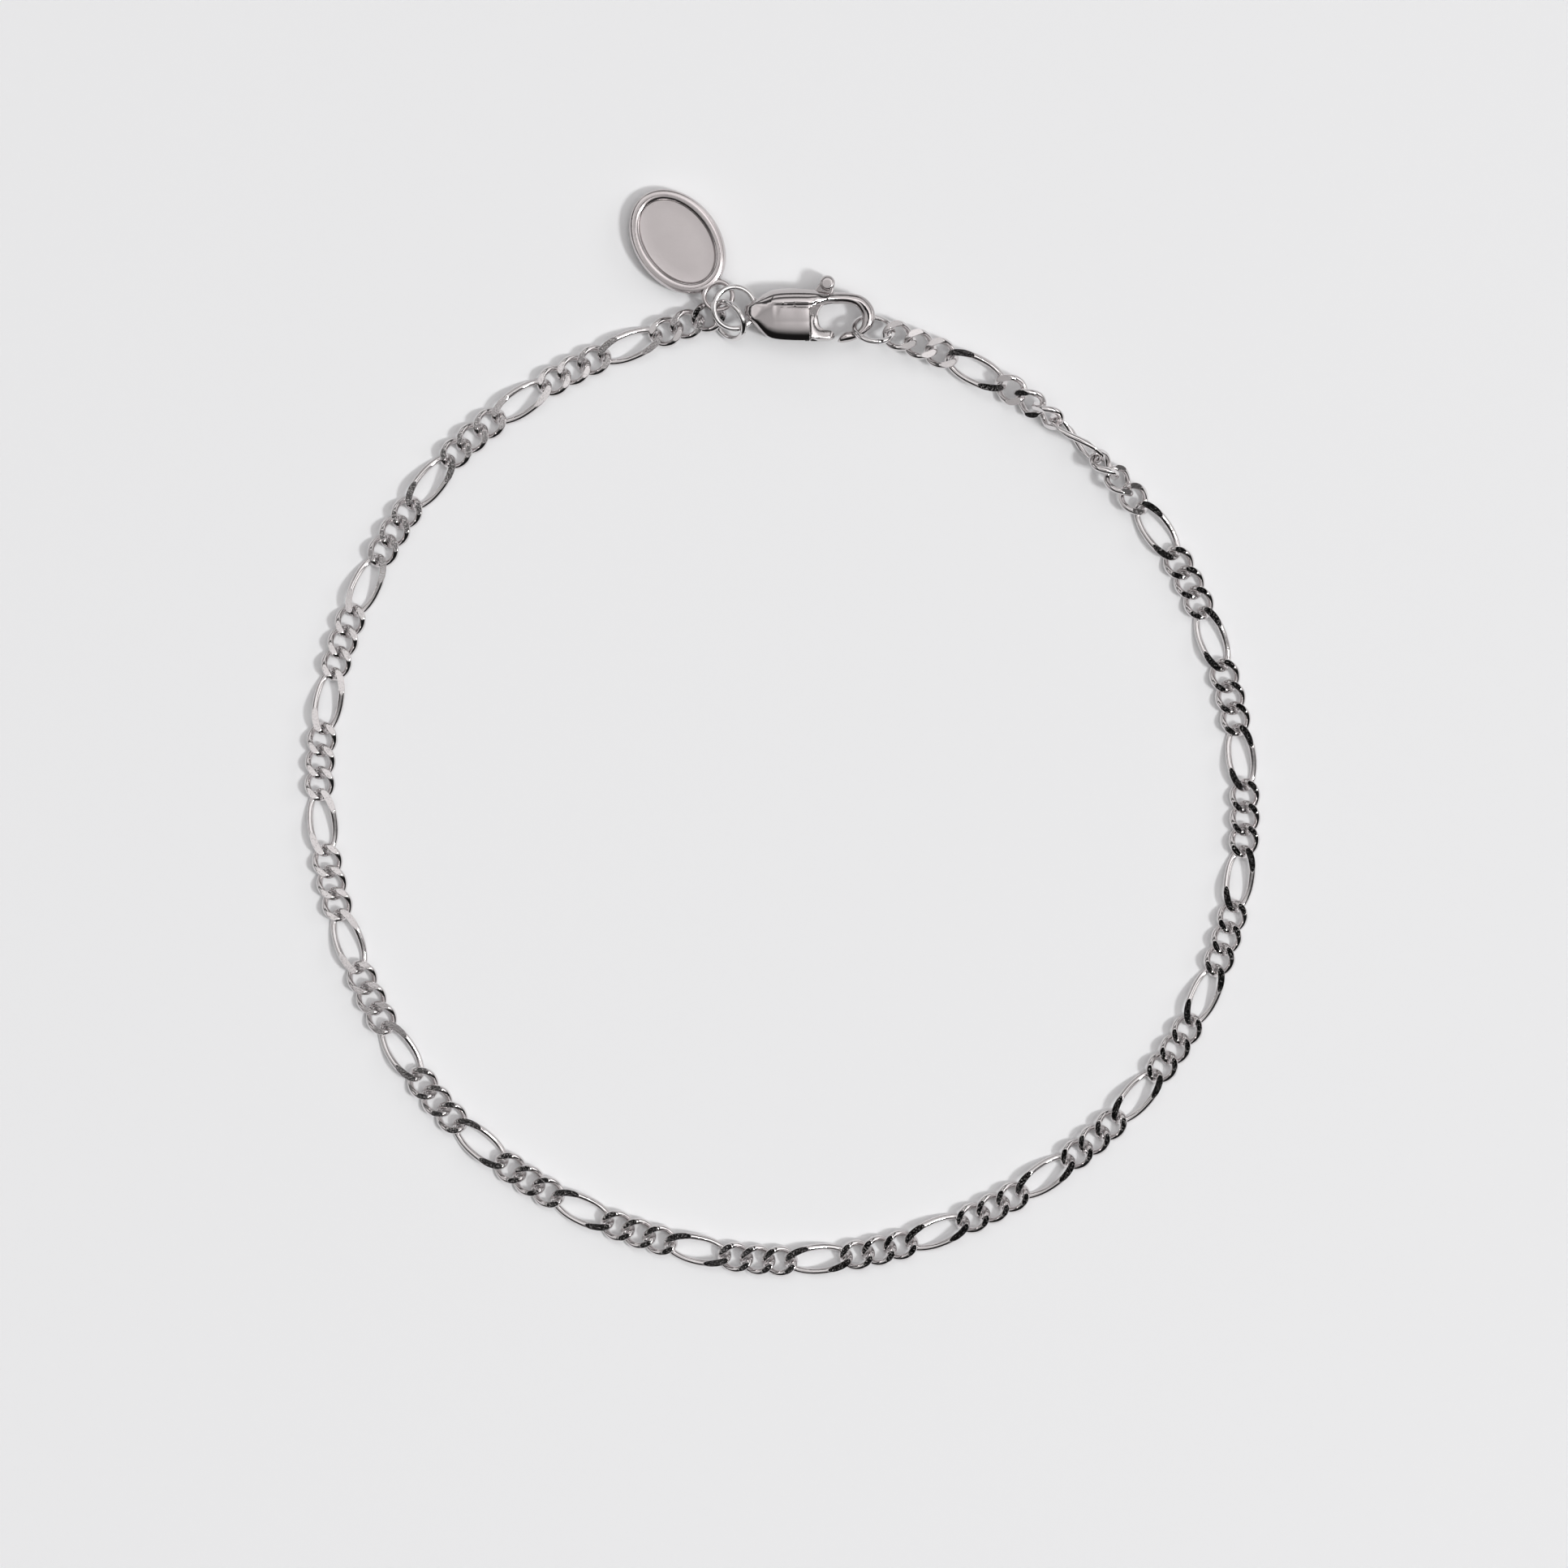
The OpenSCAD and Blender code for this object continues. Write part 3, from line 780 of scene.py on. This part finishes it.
# Mouth of the eye: distance from the neck's middle plane, and how much wider than the eye
EYE_FLARE = [(0.2, 0.0), (0.3, 0.0), (0.5, 0.03), (0.7, 0.08), (1.3, 0.2)]
EYE_SIDES = 40
FLARE_POINTS = 16


def distance_to(points, line):
    """Shortest distance of each point to a line of many corners."""
    a, b = line[:-1], line[1:]
    run = b - a
    best = np.full(len(points), np.inf)
    for start, step in zip(a, run):
        share = np.clip(((points - start) @ step) / (step @ step), 0, 1)
        best = np.minimum(best, np.linalg.norm(points - start - share[:, None] * step, axis=1))
    return best


def rounded(distance, reach, part=1.0):
    """Height share near an edge: 1 where the rounding ends, and less at the edge.

    A part below 1 stops the rounding early, and leaves an upright wall at the edge.
    """
    share = part * (1 - np.minimum(distance / reach, 1))
    return (1 - share ** ROUNDING_POWER) ** (1 / ROUNDING_POWER)


def ease(x, low, high):
    """From 0 at low to 1 at high, smooth at both."""
    share = np.clip((x - low) / (high - low), 0, 1)
    return share * share * (3 - 2 * share)


def ridge_lines():
    """The two sides of the ridge's step."""
    line = smooth_path(RIDGE, RIDGE_POINTS)
    return np.vstack([line + (0, RIDGE_HALF), line - (0, RIDGE_HALF)])


def casting_height(points, inner, outer, under):
    """Half thickness of the casting: rounded down to its edges, with a fine ridge on top."""
    x, y = points[:, 0], points[:, 1]
    rows = smooth_path(CASTING_ROWS, ROW_POINTS)
    half, over_reach, under_reach = (np.interp(x, rows[:, 0], rows[:, k]) for k in (1, 2, 3))
    half = np.where(x > HOOK_START, half * np.interp(y, *zip(*HOOK_LOW_ROWS)), half)
    ridge = smooth_path(RIDGE, RIDGE_POINTS)
    from_ridge = np.minimum(distance_to(points, ridge), FALL_REACH)
    falling = ease(x, *FALL_START) * ease(x, *FALL_END)
    half = np.minimum(half, CLASP_Z) * (1 - RIDGE_FALL * falling * from_ridge)
    above = y - np.interp(x, ridge[:, 0], ridge[:, 1])
    below = np.clip((RIDGE_HALF - above) / (2 * RIDGE_HALF), 0, 1)
    below *= np.interp(above, [STEP_REACH, -RIDGE_HALF], [0, 1])
    stepped = ease(x, *STEP_START) * ease(x, *STEP_END)
    half = half - RIDGE_STEP * below * stepped
    inner_reach = np.interp(x, *zip(*INNER_REACH))
    return (half * rounded(distance_to(points, outer), over_reach)
            * rounded(distance_to(points, under), under_reach, UNDER_PART)
            * rounded(distance_to(points, inner), inner_reach))


def inset_rows(outline):
    """The outline, and rows of points close inside it."""
    around = np.roll(outline, -1, 0) - np.roll(outline, 1, 0)
    inward = np.column_stack([-around[:, 1], around[:, 0]])
    inward /= np.linalg.norm(inward, axis=1)[:, None]
    area = np.sum(outline[:, 0] * np.roll(outline[:, 1], -1)
                  - outline[:, 1] * np.roll(outline[:, 0], -1))
    inward *= np.sign(area)
    closed = np.vstack([outline, outline[:1]])
    rows = [outline]
    for inset in INSETS:
        moved = outline + inset * inward
        rows.append(moved[distance_to(moved, closed) > INSET_KEPT * inset])
    return rows


def grid_points(outline, spacing, ridge):
    """Grid of points over the outline, with the ridge's own points where it has one."""
    closed = np.vstack([outline, outline[:1]])
    low, high = outline.min(0), outline.max(0)
    x, y = np.meshgrid(np.arange(low[0], high[0], spacing), np.arange(low[1], high[1], spacing))
    grid = np.column_stack([x.ravel(), y.ravel()])
    grid = grid[distance_to(grid, closed) > GRID_INSET]
    if ridge is None:
        return grid
    return np.vstack([grid[distance_to(grid, ridge) > RIDGE_CLEAR * spacing], ridge])


def shell(flat, faces, thick):
    """Closed shell of a flat mesh, that thick above and below the level plane."""
    lower = len(flat)
    vertices = np.vstack([np.column_stack([flat, thick]), np.column_stack([flat, -thick])])
    rim = {}
    for f in faces:
        for k in range(len(f)):
            pair = (f[k], f[(k + 1) % len(f)])
            key = tuple(sorted(pair))
            rim[key] = None if key in rim else pair
    made = [tuple(f) for f in faces] + [tuple(k + lower for k in f[::-1]) for f in faces]
    made += [(b, a, a + lower, b + lower) for a, b in filter(None, rim.values())]
    return vertices, made


def pillow(outline, height, spacing, ridge=None, hole=None):
    """A closed shape over an outline, as thick above and below the level plane as height says.

    A hole is given as its middle and radius, and goes right through.
    """
    points = inset_rows(outline) + [grid_points(outline, spacing, ridge)]
    edges = [(k, (k + 1) % len(outline)) for k in range(len(outline))]
    if hole is not None:
        middle, radius = np.array(hole[0]), hole[1]
        clear = radius + HOLE_MARGIN
        points = [p[np.linalg.norm(p - middle, axis=1) > clear] for p in points]
        first = sum(len(p) for p in points)
        points.append(middle + radius * np.column_stack(unit_circle(HOLE_SIDES)))
        edges += [(first + k, first + (k + 1) % HOLE_SIDES) for k in range(HOLE_SIDES)]
    every = [Vector(p) for p in np.vstack(points)]
    meshed = delaunay_2d_cdt(every, edges, [], INSIDE_ONLY, JOIN_WITHIN)
    flat = np.array([tuple(v) for v in meshed[0]])
    faces = meshed[2]
    if hole is not None:
        inner = radius * math.cos(math.pi / HOLE_SIDES)
        faces = [f for f in faces if np.linalg.norm(flat[list(f)].mean(0) - middle) > inner]
    return shell(flat, faces, np.maximum(height(flat), EDGE_HALF))


def eye_cutter():
    """A round hole across the neck, flared at both its mouths."""
    flare = smooth_path([(y, EYE_R + wider) for y, wider in EYE_FLARE], FLARE_POINTS)
    rows = [(-y, r) for y, r in flare[::-1]] + [(y, r) for y, r in flare]
    c, s = unit_circle(EYE_SIDES)
    rings = [np.column_stack([EYE[0] + r * c, np.full(EYE_SIDES, EYE[1] + y), r * s])
             for y, r in rows]
    return build("eye_cutter", [skin(rings)], CLASP_MIDDLE, PLAIN)


def clasp_body(material):
    """The clasp's casting: barrel, neck and hook, with its eye and the lever's slot cut out."""
    inner = smooth_path(INNER_EDGE, INNER_POINTS)
    outer = smooth_path(OUTER_EDGE, OUTER_POINTS)
    under = smooth_path(UNDER_EDGE, UNDER_POINTS)
    heights = np.linspace(BARREL_END_FROM, BARREL_END_TO, BARREL_END_STEPS + 1)[:-1]
    end = np.column_stack([np.full(BARREL_END_STEPS, BARREL_END), heights])
    outline = np.vstack([inner[:-1], outer[:-1], under[:-1], end])
    shape = pillow(outline, lambda p: casting_height(p, inner, outer, under), CASTING_GRID,
                   ridge_lines())
    body = build("clasp_casting", [shape], CLASP_MIDDLE, material)
    cut(body, eye_cutter())
    cut(body, block("slot_cutter", SLOT, -SLOT_HALF, SLOT_HALF, CLASP_MIDDLE))
    return body


# Lever: outline of the gate outside the barrel's end, and of the thin tongue in the slot
GATE = [
    (1.5, -1.79), (1.5, -1.2), (1.5, -0.6), (1.52, -0.15), (1.68, -0.02), (1.95, -0.06),
    (2.07, -0.35), (2.12, -0.7), (2.3, -0.98), (2.62, -1.12), (3.0, -1.2), (3.18, -1.45),
    (3.06, -1.74), (2.7, -1.84), (2.1, -1.84),
]
TONGUE = [
    (0.45, 0.1), (0.5, -0.2), (0.75, -0.55), (1.5, -1.6), (2.0, -1.7), (2.03, -0.9), (2.05, -0.2),
    (2.18, 0.3), (2.6, 0.8), (3.08, 1.45), (3.12, 1.85), (2.75, 2.3), (2.3, 2.2), (1.9, 1.75),
    (1.0, 0.68), (0.62, 0.5),
]
# Tongue: points round it, half its thickness, the radius of its bore for the pin, how far the
# rounding of its edge reaches, its grid, and how much of the rounding there is
TONGUE_POINTS = 120
TONGUE_HALF = 0.45
TONGUE_BORE = 0.28
TONGUE_EDGE = 0.06
TONGUE_GRID = 0.1
TONGUE_PART = 0.8
# Upper half of the knob's side, as radius and height, and how it leans out from the barrel
KNOB_ROWS = [(0.0, 0.7), (0.3, 0.69), (0.44, 0.62), (0.51, 0.5), (0.53, 0.36)]
KNOB_LEAN = 0.12
KNOB_POINTS = 40
KNOB_SIDES = 48
KNOB_TIP_R = 0.01
# Rows of the gate's outline along its side to the opening, and the row its under side starts at
OPENING_ROWS = slice(3, 12)
GATE_UNDER_FROM = 11
# Gate: points round it, along its side to the opening and along its under side, its grid, then
# where it starts, half its thickness there and the share lost per millimetre past that
GATE_POINTS = 180
OPENING_POINTS = 90
GATE_UNDER_POINTS = 60
GATE_GRID = 0.06
GATE_START = 1.5
GATE_HALF = 1.12
GATE_FALL = 0.2
# How far the gate's rounding reaches from where it starts, from its under side and from its side
# to the opening, and how much of the rounding there is on that last side
GATE_START_REACH = 0.1
GATE_UNDER_REACH = 0.2
OPENING_REACH = 0.6
GATE_PART = 0.62


def gate_height(points, opening_side, under):
    """Thick along the barrel's end, and falling towards the opening."""
    past = points[:, 0] - GATE_START
    return (GATE_HALF * (1 - GATE_FALL * past)
            * rounded(np.maximum(past, 0), GATE_START_REACH)
            * rounded(distance_to(points, under), GATE_UNDER_REACH)
            * rounded(distance_to(points, opening_side), OPENING_REACH, GATE_PART))


def gate():
    """The part of the lever that closes the hook's opening."""
    opening_side = smooth_path(GATE[OPENING_ROWS], OPENING_POINTS)
    under = smooth_path(GATE[GATE_UNDER_FROM:] + GATE[:1], GATE_UNDER_POINTS)
    return pillow(smooth_path(GATE, GATE_POINTS, closed=True),
                  lambda p: gate_height(p, opening_side, under), GATE_GRID)


def tongue():
    """The thin plate in the slot, with its bore for the pin."""
    edge = smooth_path(TONGUE, TONGUE_POINTS, closed=True)
    rim = np.vstack([edge, edge[:1]])
    return pillow(edge,
                  lambda p: TONGUE_HALF * rounded(distance_to(p, rim), TONGUE_EDGE, TONGUE_PART),
                  TONGUE_GRID, hole=(PIVOT, TONGUE_BORE))


def knob():
    """The rounded thumb knob."""
    side = KNOB_ROWS + [(r, -z) for r, z in KNOB_ROWS[::-1]]
    c, s = unit_circle(KNOB_SIDES)
    rings = []
    for r, z in smooth_path(side, KNOB_POINTS):
        x, y = max(r, KNOB_TIP_R) * c, max(r, KNOB_TIP_R) * s
        rings.append(np.column_stack([KNOB[0] + x, KNOB[1] + y, z + KNOB_LEAN * (x - y)]))
    return skin(rings)


def clasp_lever(material):
    """The sprung lever: gate, tongue and knob, each a closed shape of its own."""
    return build("clasp_lever_casting", [gate(), tongue(), knob()], CLASP_MIDDLE, material)


# Hinge pin, as radius and height up its side, with a fine bevel at each end
PIN_ROWS = [(0.2, 0.01), (0.25, 0.06), (0.25, 2.19), (0.2, 2.24)]
PIN_SIDES = 40


def clasp_pin(material):
    """The lever's hinge pin, which the casting hides."""
    c, s = unit_circle(PIN_SIDES)
    rings = [np.column_stack([r * c, r * s, np.full(PIN_SIDES, z)]) for r, z in PIN_ROWS]
    place = CLASP_FRAME @ Matrix.Translation((*PIVOT, 0))
    return build("clasp_hinge_pin", [skin(rings)], place, material)


# Tag: inset from the edge and height across its oval, from the middle of its back to its front
TAG_SECTION = [
    (2.6, 0.0), (1.2, 0.0), (0.25, 0.0), (0.08, 0.05), (0.0, 0.22), (0.0, 0.6),
    (0.03, 0.86), (0.13, 1.02), (0.3, 1.09), (0.45, 1.1), (0.62, 1.06), (0.74, 0.97),
    (0.8, 0.86), (0.9, 0.85), (1.6, 0.86), (2.6, 0.87),
]
TAG_SIDES = 128
# Height above which a row of the section is on the tag's front
TAG_FRONT = 0.5
# Sides along and round the tag's loop, then how much its wire thickens where it joins the oval,
# and how fast that fades away from there
LOOP_STEPS = 96
LOOP_SIDES = 20
ROOT_WIDER = 0.1
ROOT_HIGHER = 0.06
ROOT_POWER = 3


def tag_place():
    """The tag's place, leaning from its loop in the start ring down to the surface."""
    loop = ring_places()["tag loop"]
    reach = TAG_LENGTH + LOOP_R - LOOP_SINK
    tilt = math.asin(loop[2] / math.hypot(reach, LOOP_Z)) - math.atan(LOOP_Z / reach)
    return (CLASP_FRAME @ Matrix.Translation(loop) @ rotation(TAG_DIRECTION, "Z")
            @ Matrix.Rotation(tilt, 4, "Y"))


def tag(material):
    """The plain oval tag: a raised rim round a bare field, and a loop at its end."""
    middle = TAG_LENGTH / 2 + LOOP_R - LOOP_SINK
    c, s = unit_circle(TAG_SIDES)
    rings = [np.column_stack([middle + (TAG_LENGTH / 2 - inset) * c, (TAG_WIDTH / 2 - inset) * s,
                              np.full(TAG_SIDES, z - LOOP_Z)]) for inset, z in TAG_SECTION]
    c, s = unit_circle(LOOP_STEPS)
    root = np.clip(c, 0, 1) ** ROOT_POWER
    loop = sweep(LOOP_R * np.column_stack([c, s]), LOOP_WIRE / 2 + ROOT_WIDER * root,
                 LOOP_WIRE / 2 + ROOT_HIGHER * root, LOOP_SIDES, closed=True)
    made = build("oval_tag", [skin(rings), skin(loop, closed=True)], tag_place(), material)
    first = next(i for i, (inset, z) in enumerate(TAG_SECTION)
                 if inset >= TAG_RIM and z > TAG_FRONT)
    value = np.zeros(len(made.data.vertices))
    value[first * TAG_SIDES:len(TAG_SECTION) * TAG_SIDES] = 1
    field = made.data.attributes.new("field", "FLOAT", "POINT")
    field.data.foreach_set("value", value)
    return made


# Pieces

ground = ground_metal()
polished = plated_metal("rhodium_polished_rings", ("#DAD7D7", "#ECEAEA"),
                        smooth=0.04, relief=0.001, pit_share=0.0)
cast = plated_metal("rhodium_tumbled_clasp", ("#BFBABA", "#CFCACA"),
                    smooth=0.05, relief=0.0012, pit_share=0.06)
lever_cast = plated_metal("rhodium_tumbled_lever", ("#C4BFBF", "#D4D0D0"),
                          smooth=0.15, relief=0.003, pit_share=0.05)
steel = plated_metal("drawn_steel_pin", ("#8C8C8E", "#A5A5A7"),
                     smooth=0.22, relief=0.002, pit_share=0.0)
satin = satin_metal()

tree = link_tree()
numbers = range(LINK_COUNT)
long_links = links("long_links", tree, [k for k in numbers if k % PERIOD == PERIOD - 1], {
    "Inner Length": LONG_INNER, "Power": LONG_POWER, "Rings": LONG_RINGS, "Top": LONG_TOP,
}, ground)
short_links = links("short_links", tree, [k for k in numbers if k % PERIOD != PERIOD - 1], {
    "Inner Length": SHORT_INNER, "Power": SHORT_POWER, "Rings": SHORT_RINGS, "Top": SHORT_TOP,
}, ground)
nodes = sorted(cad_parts)
made = [(long_links, [n for n in nodes if n.startswith("long_link_")], "links", "bracelet"),
        (short_links, [n for n in nodes if n.startswith("short_links_")], "links", "bracelet")]
for jump_ring, node_name in jump_rings(polished):
    made.append((jump_ring, [node_name], "rings", "bracelet"))
made.append((clasp_body(cast), ["clasp_body"], "clasp", "bracelet"))
made.append((clasp_lever(lever_cast), ["clasp_lever"], "lever", "lever"))
made.append((clasp_pin(steel), ["clasp_pin"], "pin", "bracelet"))
made.append((tag(satin), ["tag"], "tag", "bracelet"))
for shown, stood_for, slot_name, body_name in made:
    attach(shown, body_name)
    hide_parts(*stood_for)


# Stage: floor, soft light and the photo's camera, in metres

SHEET_HALF = 1.5
SHEET_DROP = 0.00002
SHEET_TONE = "#F9FAFB"
SHEET_ROUGHNESS = 0.9
KEY_PLACE = (1.75, -0.7, 2.3)
KEY_SIZE = 0.5
KEY_POWER = 35
CAMERA_HEIGHT = 0.6
# The photo's side in its own pixels, its pixels to a millimetre, and how far in pixels the middle
# of the picture lies to the right of the loop's middle and above it
PHOTO_SIDE = 1932
PIXELS_PER_MM = 18
PHOTO_RIGHT = 4
PHOTO_UP = 5


def floor():
    """A pale matt sheet that the bracelet lies on."""
    mesh = bpy.data.meshes.new("pale_sheet")
    half = SHEET_HALF
    mesh.from_pydata([(-half, -half, 0), (half, -half, 0), (half, half, 0), (-half, half, 0)],
                     [], [(0, 1, 2, 3)])
    material, tree = new_material("pale_matt_sheet")
    shader = add(tree, "ShaderNodeBsdfPrincipled", {
        "Base Color": linear(SHEET_TONE), "Roughness": SHEET_ROUGHNESS,
    })
    add(tree, "ShaderNodeOutputMaterial", {"Surface": shader.outputs[0]})
    sheet = piece("pale_sheet", mesh, material)
    sheet.location.z = -SHEET_DROP


def lamp(name, place, size, power):
    """A white round lamp that points at the middle of the loop."""
    light = bpy.data.lights.new(name, "AREA")
    light.shape = "DISK"
    light.size = size
    light.energy = power
    made = bpy.data.objects.new(name, light)
    made.location = place
    made.rotation_mode = "QUATERNION"
    made.rotation_quaternion = (-Vector(place)).to_track_quat("-Z", "Y")
    bpy.context.scene.collection.objects.link(made)


# Cards overhead that the metal mirrors, each laid over the ones before it: east from and to, and
# north from and to, as tangents of the angle from straight up, then how soft its edge is, and its
# tone as the eye sees it, which TONE_POWER turns into brightness
SKY_CARDS = [
    (-3.2, 3.2, -3.2, 3.2, 0.5, 1.34),
    (0.14, 3.2, -0.9, 3.2, 0.03, 1.42),
    (-3.2, -0.85, -9.0, 3.2, 0.3, 0.95),
    (-3.2, 3.2, 0.6, 3.2, 0.25, 1.0),
    (-0.7, -0.0005, -0.35, 0.5, 0.15, 0.87),
    (-9.0, 9.0, -9.0, -0.55, 0.5, 0.15),
    (-0.0005, 0.2, -0.14, 0.2, 0.0015, 0.08),
    (-0.12, 0.0, -0.14, -0.026, 0.002, 0.14),
    (-0.054, -0.031, 0.024, 0.046, 0.0015, 0.12),
    (-3.2, 0.7, 1.0, 1.6, 0.08, 0.42),
    (0.78, 1.25, -0.6, 3.2, 0.05, 0.18),
    (-1.3, -0.85, -0.6, 3.2, 0.05, 0.3),
    (0.3, 0.82, 0.12, 0.6, 0.05, 0.95),
]
SKY_LEVEL = 0.42
TONE_POWER = 2.2
# Lowest height of a direction over the horizon that still counts, and what the camera sees past
# the sheet
SKY_LOWEST = 0.08
BACKDROP = 0.8


def sky():
    """Pale all round to the eye; in the metal, soft boxes with dark gaps between them."""
    world = bpy.data.worlds.new("studio")
    bpy.context.scene.world = world
    world.use_nodes = True
    tree = world.node_tree
    tree.nodes.clear()
    direction = add(tree, "ShaderNodeTexCoord").outputs["Generated"]
    split = add(tree, "ShaderNodeSeparateXYZ", {0: direction}).outputs
    up = calc(tree, "MAXIMUM", split["Z"], SKY_LOWEST)
    east = calc(tree, "DIVIDE", split["X"], up)
    north = calc(tree, "DIVIDE", split["Y"], up)
    level = SKY_LEVEL
    for east_from, east_to, north_from, north_to, soft, tone in SKY_CARDS:
        inside = 1.0
        for value, low, high in ((east, east_from, east_to), (north, north_from, north_to)):
            inside = calc(tree, "MULTIPLY", ramp(tree, value, low - soft, low + soft, 0.0, 1.0),
                          inside)
            inside = calc(tree, "MULTIPLY", ramp(tree, value, high - soft, high + soft, 1.0, 0.0),
                          inside)
        level = blend(tree, inside, level, tone)
    level = calc(tree, "POWER", level, TONE_POWER)
    path = add(tree, "ShaderNodeLightPath").outputs["Is Camera Ray"]
    back = add(tree, "ShaderNodeBackground", {
        "Color": linear("#F3F1F1"), "Strength": blend(tree, path, level, BACKDROP),
    })
    add(tree, "ShaderNodeOutputWorld", {"Surface": back.outputs[0]})


def camera():
    """Straight down, framed as the photo."""
    data = bpy.data.cameras.new("top_view")
    data.sensor_width = 36
    data.lens = data.sensor_width * CAMERA_HEIGHT / (PHOTO_SIDE / PIXELS_PER_MM * MM)
    data.clip_start = 0.01
    made = bpy.data.objects.new("top_view", data)
    made.location = (PHOTO_RIGHT / PIXELS_PER_MM * MM, PHOTO_UP / PIXELS_PER_MM * MM,
                     CAMERA_HEIGHT)
    bpy.context.scene.collection.objects.link(made)
    bpy.context.scene.camera = made


floor()
sky()
lamp("key", KEY_PLACE, KEY_SIZE, KEY_POWER)
camera()
bpy.context.scene.view_settings.view_transform = "Standard"
